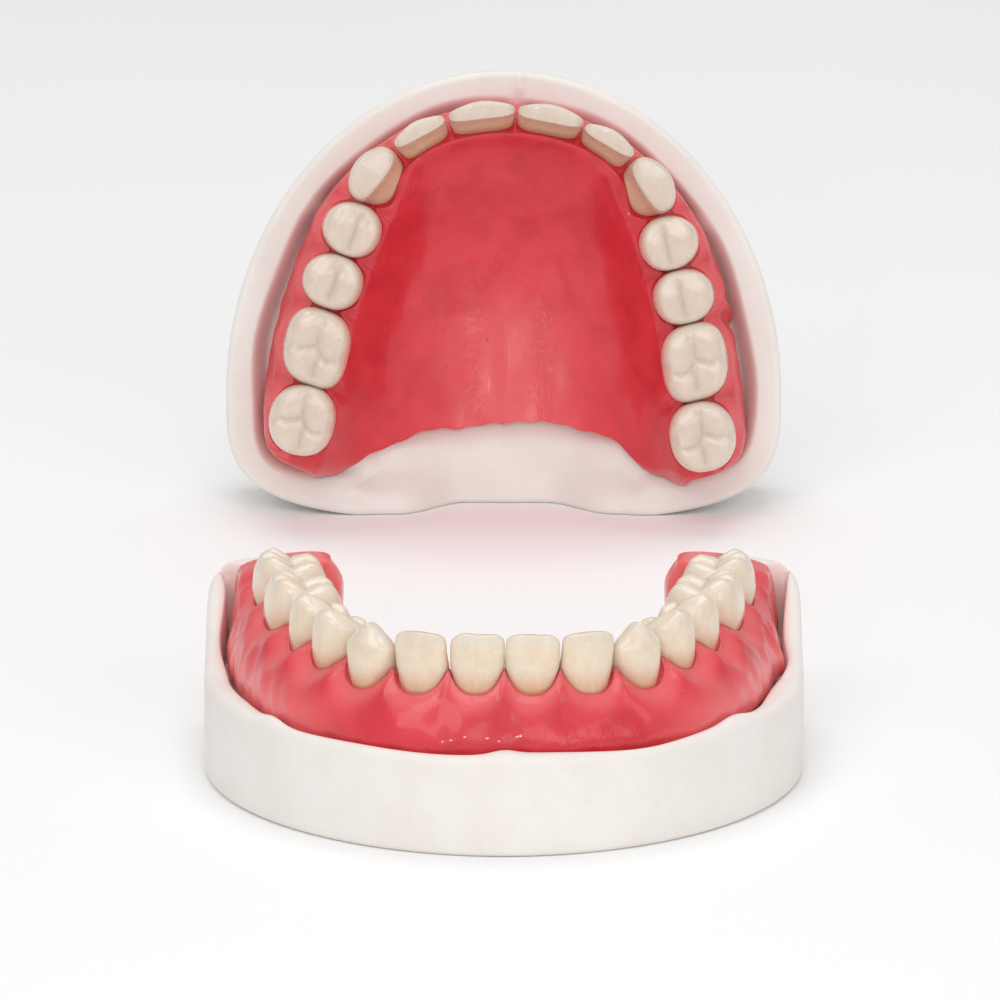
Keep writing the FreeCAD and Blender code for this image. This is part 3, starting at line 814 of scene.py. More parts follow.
LOWER_OUTER = Face((2.4, (2.0, 4.5, 4.4)), (7.4, (3.4, 6.4, 5.3)), (13.5, (5.9, 8.3, 5.8)),
                   (18.1, (5.8, 8.2, 5.8)))
LOWER_INNER = Face((2.4, (-3.2, -4.2, -5.6)), (7.4, (-4.4, -5.2, -8.6)), (13.5, (-7.3, -6.8, -8.0)),
                   (18.1, (-7.6, -7.0, -7.2)))
LOWER_RIDGE_OUT = Face((10.5, (1.6, 2.4, 2.4)), (14.8, (3.7, 4.9, 4.4)), (20.5, (4.4, 5.6, 5.0)))
LOWER_RIDGE_IN = Face((10.5, (-2.2, -2.2, -2.2)), (14.8, (-5.0, -4.6, -5.0)), (20.5, (-6.6, -5.9, -6.4)))
FITTING_VEIL = 0.4
BORDER_ROWS = 7
SIDE_FACE_ROWS = 34
TONGUE_FACE_ROWS = 26
FITTING_ROWS = {"lower": 25, "upper": 21}
LOWER_CREST = 10.5
LOWER_LABIAL_BORDER = 15.3
LOWER_TONGUE_BORDER = 18.0
LOWER_BASE_END_Y = 52.8

UPPER_OUTER = Face((2.4, (2.4, 3.6, 3.6)), (7.6, (2.9, 4.7, 4.6)), (12.5, (3.05, 5.7, 5.2)),
                   (14.9, (2.9, 5.5, 5.0)))
UPPER_RIDGE_OUT = Face((11.6, (0.4, 1.8, 1.8)), (14.1, (1.9, 3.2, 3.2)), (16.5, (2.6, 3.9, 3.9)))
UPPER_CREST = 11.6
UPPER_BORDER = 14.8
UPPER_BASE_END_Y = 46.9
LEFT_SHORTER = 0.9
PLATE_GAP = 0.3
PLATE_THICKNESS = 1.5
PALATE_SEAM_X = 0.6
PALATE_COLUMNS = 76
# Depth of the upper cast's tissue side by distance inward from the arch
PALATE_TISSUE = ((2.6, 11.6), (4.3, 12.5), (5.6, 14.0), (6.8, 15.4), (9.6, 16.9), (13.0, 18.2),
                 (16.6, 18.9), (24.0, 19.05), (40.0, 19.05))
HEEL_TISSUE = ((0.0, 12.6), (6.0, 12.8), (9.0, 13.8), (12.3, 15.4), (15.5, 17.0), (18.5, 18.1),
               (23.0, 18.9), (40.0, 19.05))
# Rear edge of the palate plate, as its y by x
REAR_BORDER = ((-45.0, 46.9), (-24.0, 46.8), (-19.5, 44.7), (-15.5, 42.3), (-8.0, 40.0), (-1.5, 39.8),
               (3.2, 39.0), (8.5, 39.3), (13.8, 40.7), (16.5, 43.0), (19.0, 45.5), (22.5, 46.3),
               (25.0, 47.1), (45.0, 47.4))


def stations(end, close, step=0.33):
    """Distances along an arch from heel to heel, crowded at the ends, and how open the shell is there."""
    plain = np.arange(0.0, end - close, step)
    turn = np.linspace(0.0, math.pi / 2.0, 12)
    one = np.concatenate([plain, end - close + close * np.sin(turn)])
    full = np.concatenate([np.ones(len(plain)), np.cos(turn)])
    return np.concatenate([-one[:0:-1], one]), np.concatenate([full[:0:-1], full])


def behind_teeth(arch, s):
    """0 along the teeth, rising to 1 past the last one."""
    return smooth_step(np.abs(s), arch.last_edge - 0.6, arch.last_edge + 2.5)


def sharpness(s):
    """Power of the gum scallop: broad and square at the incisors, pointed further back."""
    return three_way((2.9, 1.8, 1.8), s)


def gum_margin(arch, s, rise, share):
    """Depth of the gum's edge: deep at each tooth's middle and pointed up between two teeth."""
    past = behind_teeth(arch, s)
    depth = arch.tooth_value("crown", s) * share - three_way(rise, s) * arch.between_teeth(s, sharpness(s))
    return depth * (1.0 - past) + arch.pad_depth * past, past


def neck_offset(arch, s, side):
    """Offset of the tooth surface at its neck, falling back between two teeth."""
    half = arch.tooth_value("depth_full", s) * side
    fall = np.maximum(1.0 - (1.03 * arch.between_teeth(s, 1.0)) ** 2.7, 0.0) ** (1.0 / 2.7)
    return half * np.maximum(fall, 0.46)


def lobed(arch, s, depth, margin):
    """Swelling over each root and hollow between roots, fading towards the border."""
    root = np.cos(math.pi * np.clip(arch.between_teeth(s, 1.0), 0.0, 1.0))
    return root * bell(depth, margin + 2.8, 2.6) * three_way((0.13, 0.16, 0.08), s)


def cheek_face(arch, outer, s, border, margin, rows):
    """Points (offset, depth) of a flange's outer face, from its border up to the gum margin."""
    part = np.linspace(0.0, 1.0, rows)[None, :]
    low = border - 1.0
    depth = low + (margin - low) * part ** 0.9
    neck = neck_offset(arch, s, 0.45) + 0.22 - arch.tooth_value("inset", s)
    plain = outer.at(s, depth)
    at_margin = outer.at(s, margin + 0.0 * depth)
    past = behind_teeth(arch, s)
    offset = plain + (neck - at_margin) * np.exp(-((depth - margin) / 1.35) ** 2) * (1.0 - past)
    offset = offset + lobed(arch, s, depth, margin) * (1.0 - past)
    roll = 0.16 * bell(depth, margin + 0.75, 0.6) * (1.0 - past) * (1.0 - 0.6 * arch.between_teeth(s, 3.0))
    offset = offset + roll + hand_waxing(arch, s, depth)
    if arch.flange_limit is not None:
        offset = soft_least(offset, np.interp(s, *arch.flange_limit), 0.35)
    return offset, depth


def soft_least(a, b, width):
    """The smaller of two values, with a rounded change-over."""
    return -width * np.logaddexp(-a / width, -b / width)


def hand_waxing(arch, s, depth):
    """Low unevenness of a hand-finished surface, with a pinched fold in the left flange."""
    wave = 0.10 * np.sin(0.42 * s + 0.9 * np.sin(0.31 * depth))
    wave = wave + 0.07 * np.sin(0.93 * s + 0.5 * depth + 1.0)
    wave = wave + 0.05 * np.sin(1.9 * s - 0.8 * depth)
    slanted = s - 0.30 * (depth - 10.0) - arch.fold_at
    fold = 0.55 * bell(slanted, 0.0, 0.75) - 0.40 * bell(slanted, 1.7, 0.9)
    return wave + fold * smooth_step(depth, 7.0, 9.5)


def join_profiles(s, offsets_depths):
    """One profile from several (offset, depth) pieces."""
    offset = np.concatenate([pair[0] + 0.0 * s for pair in offsets_depths], axis=1)
    depth = np.concatenate([pair[1] + 0.0 * s for pair in offsets_depths], axis=1)
    return offset, depth


def quarter(offset_low, depth_low, offset_side, depth_side, rows):
    """Rounded border from its lowest point to its side, without the last point."""
    turn = np.linspace(0.0, math.pi / 2.0, rows, endpoint=False)[None, :]
    return (offset_low + (offset_side - offset_low) * np.sin(turn),
            depth_side + (depth_low - depth_side) * np.cos(turn))


def reversed_rows(profile):
    """A profile piece run the other way."""
    return tuple(value[:, ::-1] for value in profile)


def over_ridge(top_from, top_to, rows, crest_depth):
    """Fitting side over the top of a ridge."""
    part = np.linspace(0.0, 1.0, rows)[None, :]
    return top_from + (top_to - top_from) * part, crest_depth - 0.12 * np.sin(math.pi * part)


def notched(border, s, arch):
    """Border depth with the notches that clear the lip and cheek bands."""
    notch = 0.7 * bell(s, 0.0, 1.9) + 0.9 * bell(np.abs(s), arch.band_at, 2.2)
    return border - notch + 0.16 * np.sin(0.5 * s + 0.7)


def top_band(lip_offset, tongue_offset, lip_margin, tongue_margin, sink, power=1.0):
    """Gum between its two margins, under and between the teeth."""
    across = np.linspace(0.0, 1.0, 16)[None, 1:-1]
    share = (0.5 - 0.5 * np.cos(math.pi * across)) ** power
    offset = lip_offset + (tongue_offset - lip_offset) * share
    depth = lip_margin + (tongue_margin - lip_margin) * across + sink * np.sin(math.pi * across) ** 0.7
    return offset, depth


def shell_mesh(outer_side, inner_side):
    """Vertices and quads of two matched grids, joined where they coincide."""
    rows, columns = outer_side.shape[:2]
    points = np.concatenate([outer_side.reshape(-1, 3), inner_side.reshape(-1, 3)])
    outer_faces = grid_faces(rows, columns)
    inner_faces = grid_faces(rows, columns, offset=rows * columns)[:, ::-1]
    return points, np.concatenate([outer_faces, inner_faces])


def add_base(arch, visible, fitting, openness, veil, wet):
    """Denture base from its two sides, which meet at both heels."""
    visible = fitting + (visible - fitting) * openness[:, None, None]
    points, faces = shell_mesh(visible, fitting)
    unseen = np.zeros(veil.size)
    veil = np.concatenate([veil.ravel(), unseen + FITTING_VEIL])
    wet = np.concatenate([wet.ravel(), unseen])
    make_piece(arch.jaw + "_gum", arch.jaw, arch.jaw + "_denture", [arch.jaw + "_denture_base"],
               points, faces, GUM, {"veil": veil, "wet": wet})


def rim_inset(s):
    """Least distance from the upper cast's outline to the denture, smaller at the left heel."""
    return np.interp(np.abs(s), *UPPER_RIM_INSET) - 0.8 * smooth_step(s, 46.0, 58.0)


def upper_flange_limit():
    """Largest offset at each station that leaves the rim of the upper cast free."""
    s = np.arange(-78.0, 78.1, 0.5)
    offsets = np.arange(-7.0, 8.0, 0.1)
    xy, _, outward = upper.at(s)
    points = xy[:, None, :] + outward[:, None, :] * offsets[None, :, None]
    gap = UPPER_EGG.side_distance(points.reshape(-1, 2)).reshape(points.shape[:2])
    inset = rim_inset(s)[:, None]
    fits = (gap >= inset) & (points[..., 1] < 52.0)
    last_fit = len(offsets) - 1 - np.argmax(fits[:, ::-1], axis=1)
    largest = np.where(fits.any(1), offsets[last_fit], offsets[0])
    return s, np.maximum(largest, -3.0)


def lower_tongue_face(s, tongue_side, margin, past):
    """Points (offset, depth) of the lower base's tongue face, from its margin to its border."""
    part = np.linspace(0.0, 1.0, TONGUE_FACE_ROWS)[None, :]
    depth = margin + (tongue_side - margin) * part
    neck = -neck_offset(lower, s, 0.46) - 0.2
    ease = np.exp(-((depth - margin) / 2.2) ** 2) * (1.0 - past)
    offset = LOWER_INNER.at(s, depth) + (neck - LOWER_INNER.at(s, margin)) * ease
    return offset - 0.6 * lobed(lower, s, depth, margin) * (1.0 - past), depth


def make_lower_base():
    """Horseshoe denture base, from its lip border over the gum to its tongue border and back inside."""
    end = lower.reach_at(LOWER_BASE_END_Y)
    s, openness = stations(end, 5.0)
    s = s[:, None]
    heel = smooth_step(np.abs(s), end - 9.0, end)
    border = notched(LOWER_LABIAL_BORDER, s, lower) - 3.0 * heel
    low = border - 1.0
    lip_margin, past = gum_margin(lower, s, (2.9, 2.7, 2.4), 1.0)
    lip_margin = lip_margin + 1.3 * past
    side_offset, side_depth = cheek_face(lower, LOWER_OUTER, s, border, lip_margin, SIDE_FACE_ROWS)
    ridge_out = LOWER_RIDGE_OUT.at(s, low) + SEAT_GAP
    border_offset = (side_offset[:, :1] + ridge_out) / 2.0

    tongue_margin = gum_margin(lower, s, (2.0, 1.8, 1.6), 0.94)[0] + 0.2 * past
    tongue_low = LOWER_TONGUE_BORDER - 5.0 * heel
    tongue_side = tongue_low - 0.9
    tongue_offset, tongue_depth = lower_tongue_face(s, tongue_side, tongue_margin, past)
    ridge_in = LOWER_RIDGE_IN.at(s, tongue_side) - SEAT_GAP
    tongue_border = (tongue_offset[:, -1:] + ridge_in) / 2.0
    sink = 0.35 * (1.0 - past) - 1.5 * past
    offset, depth = join_profiles(s, [
        quarter(border_offset, border, side_offset[:, :1], low, BORDER_ROWS),
        (side_offset, side_depth),
        top_band(side_offset[:, -1:], tongue_offset[:, :1], lip_margin, tongue_margin, sink,
                 1.0 - 0.25 * past),
        (tongue_offset, tongue_depth),
        reversed_rows(quarter(tongue_border, tongue_low, tongue_offset[:, -1:], tongue_side, BORDER_ROWS))])

    crest = LOWER_CREST - SEAT_GAP
    rows = FITTING_ROWS["lower"]
    out_depth = low + (crest - low) * np.linspace(0.0, 1.0, rows + 1)[None, :-1]
    in_depth = crest + (tongue_side - crest) * np.linspace(0.0, 1.0, rows)[None, :]
    crest_out = LOWER_RIDGE_OUT.at(s, crest) + SEAT_GAP
    crest_in = LOWER_RIDGE_IN.at(s, crest) - SEAT_GAP
    fitting = join_profiles(s, [
        quarter(border_offset, border, ridge_out, low, BORDER_ROWS),
        (LOWER_RIDGE_OUT.at(s, out_depth) + SEAT_GAP, out_depth),
        over_ridge(crest_out, crest_in, offset.shape[1] - 2 * BORDER_ROWS - 2 * rows, crest),
        (LOWER_RIDGE_IN.at(s, in_depth) - SEAT_GAP, in_depth),
        reversed_rows(quarter(tongue_border, tongue_low, ridge_in, tongue_side, BORDER_ROWS))])

    station = s + 0.0 * offset
    cheek_side = offset > 0.0
    thin = 0.75 * bell(depth, lip_margin + 0.4, 1.5) * (1.0 - past)
    thin = thin + smooth_step(depth, 7.5, 12.5) * smooth_step(np.abs(station), 12.0, 26.0)
    veil = np.clip(thin * cheek_side + 0.6 * past + 0.4 * (offset < -2.0), 0.0, 1.0)
    papilla = bell(depth, lip_margin + 0.3, 0.7) * lower.between_teeth(station, 2.0)
    wet = (bell(station, 9.0, 6.0) * bell(depth, 13.0, 1.8) + 0.8 * papilla) * cheek_side
    add_base(lower, lower.place(station, offset, depth), lower.place(station, *fitting), openness,
             veil, wet)


def tissue_depth(offset, y):
    """Depth of the upper cast's tissue side, where its steep walls ease off towards the heel."""
    heel = smooth_step(y, 37.0, 47.0)
    ahead = smooth_through(PALATE_TISSUE, -offset)
    return ahead * (1.0 - heel) + smooth_through(HEEL_TISSUE, -offset) * heel


def palate_depth(x, y, offset, margin):
    """Depth of the visible palate by distance inward from the teeth."""
    front = 1.0 - smooth_step(y, 2.0, 12.0)
    inward = np.maximum(-offset - 4.3 + 2.9 * front, 0.0)
    deepest = 16.2 - 2.6 * (1.0 - smooth_step(y, 4.0, 26.0))
    depth = margin + (deepest - margin) * (1.0 - np.exp(-(inward / 4.9) ** 1.2))
    rear = smooth_step(y, 14.0, 26.0)
    from_seam = np.abs(x - PALATE_SEAM_X)
    seam = -0.35 * bell(from_seam, 0.0, 1.3) + 0.24 * bell(from_seam, 3.4, 1.9)
    seam = seam - 0.16 * bell(from_seam, 6.4, 1.4)
    folds = 0.10 * np.sin(1.5 * y + 0.25 * np.abs(x)) * bell(y, 12.0, 5.0)
    folds = folds * smooth_step(np.abs(x), 1.5, 4.0)
    wave = 0.07 * np.sin(0.7 * x + 0.5 * y) + 0.05 * np.sin(1.3 * x - 0.35 * y + 2.0)
    return depth + (seam * rear + folds + wave) * smooth_step(inward, 2.0, 7.0)


def rear_edge(x):
    """Wavy rear edge of the palate plate."""
    return smooth_through(REAR_BORDER, x) + 0.22 * np.sin(0.75 * x) + 0.12 * np.sin(1.9 * x + 1.0)


def palate_plan(s, end, start):
    """Places across the palate plate in plan, from its margin to the midline, and how far in each is."""
    rear = np.interp(0.0, *np.transpose(REAR_BORDER))
    front = upper.at(0.0)[0][1] + 9.0
    spine_y = front + (rear - front) * np.abs(s[:, 0]) / end
    spine = np.column_stack([np.zeros(len(spine_y)), spine_y])
    v = (np.linspace(0.0, 1.0, PALATE_COLUMNS)[1:] ** 0.92)[None, :, None]
    flat = start[:, None, :] * (1.0 - v) + spine[:, None, :] * v
    near_end = (np.abs(s) / end) ** 9
    flat[..., 1] += (rear_edge(flat[..., 0]) - flat[..., 1]) * near_end * smooth_step(v[..., 0], 0.0, 0.25)
    return flat, v[..., 0] * np.linalg.norm(spine - start, axis=1)[:, None]


def upper_tongue_neck(s, past):
    """Offset at which the palate plate meets the backs of the teeth."""
    sides = -neck_offset(upper, s, 0.46) - 0.15 - upper.tooth_value("inset", s)
    front = -1.25 - 0.8 * smooth_step(np.abs(s), 12.0, 21.0)
    is_front = 1.0 - smooth_step(np.abs(s), 17.0, 23.0)
    neck = sides * (1.0 - is_front) + front * is_front
    return neck * (1.0 - past) - 4.4 * past


def make_upper_base():
    """Denture base with a flange, a gum band and a palate plate, and the fitting side behind them."""
    end = upper.reach_at(UPPER_BASE_END_Y)
    s, openness = stations(end, 1.6)
    s = np.where(s > 0.0, s * (1.0 - LEFT_SHORTER / end), s)[:, None]
    border = notched(UPPER_BORDER, s, upper) - 1.6 * smooth_step(np.abs(s), end - 5.0, end)
    low = border - 1.0
    lip_margin, past = gum_margin(upper, s, (3.0, 2.6, 2.3), 1.0)
    side_offset, side_depth = cheek_face(upper, UPPER_OUTER, s, border, lip_margin, SIDE_FACE_ROWS)
    share = three_way((0.50, 0.80, 0.80), s)
    tongue_margin, _ = gum_margin(upper, s, (0.25, 0.9, 0.9), share)
    plain_margin, _ = gum_margin(upper, s, (0.0, 0.0, 0.0), share)
    tongue_neck = upper_tongue_neck(s, past)
    room = side_offset[:, :1] - 0.7
    ridge_out = np.minimum(UPPER_RIDGE_OUT.at(s, low) + SEAT_GAP, room)
    border_offset = (side_offset[:, :1] + ridge_out) / 2.0
    sink = 0.30 * (1.0 - past) - 1.1 * past
    offset, depth = join_profiles(s, [
        quarter(border_offset, border, side_offset[:, :1], low, BORDER_ROWS),
        (side_offset, side_depth),
        top_band(side_offset[:, -1:], tongue_neck, lip_margin, tongue_margin, sink),
        (tongue_neck, tongue_margin)])

    crest = UPPER_CREST - PLATE_GAP
    rows = FITTING_ROWS["upper"]
    out_depth = low + (crest - low) * np.linspace(0.0, 1.0, rows + 1)[None, :-1]
    crest_out = np.minimum(UPPER_RIDGE_OUT.at(s, crest) + SEAT_GAP, room)
    fitting = join_profiles(s, [
        quarter(border_offset, border, ridge_out, low, BORDER_ROWS),
        (np.minimum(UPPER_RIDGE_OUT.at(s, out_depth) + SEAT_GAP, room), out_depth),
        over_ridge(crest_out, tongue_neck, offset.shape[1] - BORDER_ROWS - rows, crest)])

    station = s + 0.0 * offset
    outer_points = upper.place(station, offset, depth)
    flat, from_margin = palate_plan(s, end, outer_points[:, -1, :2])
    inward = upper.locate(flat.reshape(-1, 2))[1].reshape(flat.shape[:2])
    fade = np.exp(-(from_margin / 1.2) ** 2)
    margin = plain_margin + (tongue_margin - plain_margin) * fade
    tissue = tissue_depth(inward, flat[..., 1]) - PLATE_GAP
    vault = np.minimum(palate_depth(flat[..., 0], flat[..., 1], inward, margin), tissue - PLATE_THICKNESS)
    palate = np.concatenate([flat, upper.level(vault)[..., None]], axis=-1)
    under = np.concatenate([flat, upper.level(tissue)[..., None]], axis=-1)

    thin = 0.7 * bell(depth, lip_margin + 0.4, 1.4) * (offset > 0.0) * (1.0 - past) + 0.3 * past
    centre = 0.75 * bell(flat[..., 0], 1.0, 9.0) * smooth_step(flat[..., 1], 12.0, 30.0)
    from_seam = np.abs(flat[..., 0] - PALATE_SEAM_X)
    lines = bell(from_seam, 4.6, 1.7) * smooth_step(flat[..., 1], 15.0, 22.0)
    lines = lines + 0.7 * bell(from_seam, 0.0, 2.5) * bell(flat[..., 1], 17.0, 5.0)
    add_base(upper,
             np.concatenate([outer_points, palate], axis=1),
             np.concatenate([upper.place(station, *fitting), under], axis=1),
             openness,
             np.concatenate([thin, centre], axis=1),
             np.concatenate([np.zeros(thin.shape), lines], axis=1))


UPPER_HEEL_Y = 51.8
UPPER_EGG = Egg(37.1, -7.8, 35.4, 52.4, 2.0, 3.5, UPPER_HEEL_Y)
UPPER_RIM_INSET = ((0.0, 14.0, 30.0, 46.0), (4.2, 4.3, 4.6, 4.9))
upper.flange_limit = upper_flange_limit()
make_lower_base()
make_upper_base()

# ---------------------------------------------------------------- casts


LOWER_RIM = (6.4, 8.9, 6.4)
LOWER_TONGUE_WALL = (-9.0, -8.0, -7.6)
LOWER_LAND_RISE = ((27.0, 0.0), (38.0, 1.6), (49.0, 6.3), (54.0, 7.5))
LOWER_LAND = 12.5
LOWER_GROOVE = 10.2
LOWER_SHELF = 7.5
LOWER_RIDGE_DEPTHS = (10.5, 10.9, 11.6, 13.0, 14.8, 16.0, 18.0, 20.5)
CHANNEL_END_Y = 53.4
HEEL_WIDTH = 7.0
EDGE_ROUND = 1.3
BASE_ROUND = 0.8


def rounded_edge(distance, radius):
    """Drop of a surface near an edge that is rounded with a radius."""
    near = np.clip((radius - distance) / radius, 0.0, 1.0)
    return radius * (1.0 - np.sqrt(np.maximum(1.0 - near * near, 0.0)))


def across_ridge(face, side, s, offset, depths):
    """Depth of one side of a ridge at each offset, from its offsets at rising depths."""
    edges = side * face.at(s.ravel()[:, None], np.array([depths]))
    found = [np.interp(side * place, row, depths) for place, row in zip(offset.ravel(), edges)]
    return np.array(found).reshape(offset.shape)


def lower_top(s, offset, xy, edge):
    """Height of the lower cast's upper side."""
    arch_y = lower.at(s)[0][..., 1]
    rise = smooth_through(LOWER_LAND_RISE, xy[..., 1])
    rim = three_way(LOWER_RIM, s) - 0.25 * np.sin(0.37 * s)
    band = 0.5 * bell(s, 0.0, 1.8) + 0.65 * bell(np.abs(s), lower.band_at, 2.4)
    land = LOWER_LAND + rise + 0.12 * np.sin(0.31 * s + 0.5) + band * bell(offset, rim, 2.2)
    land = land - 0.5 * rounded_edge(offset - rim, 1.1)
    level = LOWER_GROOVE + rise * smooth_step(arch_y, CHANNEL_END_Y - 0.5, CHANNEL_END_Y + 0.6) + band * 0.8
    ridge = lower.occlusal - np.maximum(across_ridge(LOWER_RIDGE_OUT, 1.0, s, offset, LOWER_RIDGE_DEPTHS),
                                        across_ridge(LOWER_RIDGE_IN, -1.0, s, offset, LOWER_RIDGE_DEPTHS))
    ridge = ridge + 0.18 * np.sin(0.8 * s + 0.4) * smooth_step(ridge, 9.0, 14.0)
    over = smooth_step(offset - rim, -0.45, 0.25)
    outer_part = np.maximum(ridge, level) * (1.0 - over) + land * over
    mix = smooth_step(offset, -1.0, 0.0)
    top = np.maximum(ridge, LOWER_SHELF) * (1.0 - mix) + outer_part * mix
    pad = LOWER_LAND + rise
    behind = smooth_step(xy[..., 1], CHANNEL_END_Y - 0.3, CHANNEL_END_Y + 0.8)
    climb = smooth_step(offset, three_way(LOWER_TONGUE_WALL, s) + 0.2, -5.0)
    inner_pad = pad * climb + LOWER_SHELF * (1.0 - climb)
    top = top * (1.0 - behind) + np.where(offset < 0.0, inner_pad, pad) * behind
    return top - rounded_edge(edge, EDGE_ROUND)


def edge_spread(count, edge_rows, edge_width, total):
    """Shares from 0 to 1, with edge_rows extra crowded ones within edge_width of each end."""
    turn = np.linspace(0.0, math.pi / 2.0, edge_rows + 1)[:-1]
    start = edge_width * (1.0 - np.cos(turn)) / total
    middle = np.linspace(edge_width / total, 1.0 - edge_width / total, count)
    return np.concatenate([start, middle, (1.0 - start)[::-1]])


def lower_cast_plan(low, high):
    """Places of the lower cast in plan, from tongue wall to outline, and their distances from an edge."""
    egg = Egg(high[0], low[1], 31.0, high[1], 1.95, 8.0, high[1] - 0.02)
    left = lower.table[lower.table > 0.0]
    inner_end = float(left[np.argmin(np.abs(lower.at(left)[0][:, 1] - high[1]))])
    end_xy, _, end_out = lower.at(inner_end)
    outer_end = egg.reach_to(end_xy[0] + end_out[0] * LOWER_TONGUE_WALL[2] + HEEL_WIDTH)
    crowd = 1.0 - 0.009 * np.array([0.0, 0.05, 0.2, 0.45, 0.8])
    share = np.unique(np.concatenate([np.linspace(-1.0, 1.0, 471), crowd, -crowd]))
    tongue_s = share * inner_end
    xy, _, out = lower.at(tongue_s)
    inner = xy + out * three_way(LOWER_TONGUE_WALL, tongue_s)[:, None]
    outer = egg.along(share * outer_end)
    last_y = high[1] - 0.03
    inner[:, 1] = np.minimum(inner[:, 1], last_y)
    outer[:, 1] = np.minimum(outer[:, 1], last_y)
    across = edge_spread(118, 7, EDGE_ROUND, 20.0)
    grid = inner[:, None, :] * (1.0 - across)[None, :, None] + outer[:, None, :] * across[None, :, None]
    from_walls = np.minimum(across, 1.0 - across)[None, :] * np.linalg.norm(outer - inner, axis=1)[:, None]
    return grid, np.minimum(from_walls, np.maximum(last_y - grid[..., 1], 0.0))


def make_lower_cast():
    """Horseshoe slab on a flat base, with the ridge, groove and land on its upper side."""
    grid, edge = lower_cast_plan(*node_box("lower", "lower_cast"))
    s, offset = lower.locate(grid.reshape(-1, 2))
    top = lower_top(s.reshape(edge.shape), offset.reshape(edge.shape), grid, edge)
    sides = [np.concatenate([grid, height[..., None]], axis=-1)
             for height in (top, rounded_edge(edge, BASE_ROUND))]
    points, faces = shell_mesh(*sides)
    points, faces = split_walls(points, faces, *edge.shape)
    # Painted pink reflection of the gum on the groove beside the flange
    inside_rim = 1.0 - smooth_step(offset - three_way(LOWER_RIM, s), 0.0, 1.2)
    add_cast(lower, points, faces, 0.8 * smooth_step(offset, 3.0, 5.0) * inside_rim)


def add_cast(arch, points, faces, painted_pink_bounce):
    """Cast with a painted pink bounce of light from the gum on its first points, those of its biting side.
    """
    name = arch.jaw + "_cast"
    painted_pink_bounce = np.concatenate([painted_pink_bounce, np.zeros(len(points) - len(painted_pink_bounce))])
    make_piece(name + "_form", arch.jaw, name, [name], points, faces, CAST, {"painted_pink_bounce": painted_pink_bounce})


def grid_rim(rows, columns):
    """Vertex numbers round the edge of a grid."""
    first = list(range(columns))
    right = [row * columns + columns - 1 for row in range(1, rows)]
    back = [(rows - 1) * columns + column for column in range(columns - 2, -1, -1)]
    left = [row * columns for row in range(rows - 2, 0, -1)]
    return np.array(first + right + back + left)


def wall_between(top, bottom, levels):
    """Rows of a wall between two matched rims."""
    part = np.linspace(0.0, 1.0, levels + 1)[:, None, None]
    return (top[None] * (1.0 - part) + bottom[None] * part).reshape(-1, 3)


def split_walls(points, faces, rows, columns, levels=14):
    """Adds walls of several rows between the rims of the two sides of a slab."""
    rim = grid_rim(rows, columns)
    wall = wall_between(points[rim], points[rim + rows * columns], levels)
    quads = grid_faces(levels + 1, len(rim), True, len(points))
    return np.concatenate([points, wall]), np.concatenate([faces, quads])


UPPER_LAND = 12.5
UPPER_FLOOR = 15.4
HEEL_FLOOR = 12.9
FINE_BAND = 8.0
BACK_ROUND = 2.2
WALL_LEVELS = 18
HEEL_LEAN = 12.5
UPPER_RIDGE_DEPTHS = (11.6, 12.3, 13.2, 14.1, 15.3, 16.5)
UPPER_CENTRE = np.array([0.0, 27.0])
UPPER_RIM_WIDTH = 3.5
RIDGE_END_Y = 49.5


def upper_top(s, offset, xy, edge, side_gap):
    """Depth of the upper cast's biting side."""
    arch_y = upper.at(s)[0][..., 1]
    outward = across_ridge(UPPER_RIDGE_OUT, 1.0, s, offset, UPPER_RIDGE_DEPTHS)
    inward = tissue_depth(offset, xy[..., 1])
    crest = np.where(offset > -1.0, outward, inward)
    inset = rim_inset(s) + 0.9
    low = UPPER_FLOOR + (np.maximum(crest, HEEL_FLOOR) - UPPER_FLOOR) * smooth_step(xy[..., 1], 43.5, 47.0)
    crest = crest + (low - crest) * (1.0 - smooth_step(side_gap, inset - 0.5, inset + 1.6))
    gone = smooth_step(arch_y, RIDGE_END_Y - 0.6, RIDGE_END_Y + 1.4)
    inside = crest * (1.0 - gone) + np.maximum(crest, 13.2) * gone
    band = 1.1 * bell(s, 0.0, 1.1) + 0.8 * bell(np.abs(s), upper.band_at, 1.4)
    floor = UPPER_FLOOR - 1.0 * bell(s, 0.0, 20.0) - band + 0.15 * np.sin(0.4 * s)
    floor = floor + (HEEL_FLOOR - floor) * smooth_step(xy[..., 1], 45.5, 50.0)
    groove = np.minimum(np.maximum(inside, 0.0), floor)
    width = UPPER_RIM_WIDTH + 0.22 * np.sin(0.33 * s + 1.0)
    over = 1.0 - smooth_step(side_gap, width - 0.3, width + 2.1)
    near_side = 1.0 - smooth_step(side_gap, inset + 1.0, inset + 10.0)
    owned = np.maximum(smooth_step(offset, -1.6, -0.6), near_side)
    groove = inside + (groove - inside) * owned
    depth = groove * (1.0 - over) + (UPPER_LAND + 0.12 * np.sin(0.27 * s)) * over
    depth = depth - 0.4 * bell(s, 0.3, 0.6) * smooth_step(offset, 3.0, 5.0)
    return depth + rounded_edge(edge, 1.0)


def upper_cast_plan():
    """Places of the upper cast in plan, on rays from its outline to its centre."""
    full = UPPER_EGG.table[-1]
    outline = UPPER_EGG.along(np.linspace(-full, full, 901)[:-1])
    rounding = 1.0 - np.cos(np.linspace(0.0, math.pi / 2.0, 8))
    inward = np.concatenate([rounding, np.linspace(1.15, FINE_BAND, 46)])
    ray = np.linalg.norm(outline - UPPER_CENTRE, axis=1)[:, None]
    rest = np.linspace(0.0, 1.0, 92)[None, 1:] ** 0.9
    steps = np.concatenate([np.broadcast_to(inward, (len(ray), len(inward))),
                            FINE_BAND + (ray - FINE_BAND) * rest], axis=1)
    return outline[:, None, :] + (UPPER_CENTRE - outline)[:, None, :] * (steps / ray)[..., None]


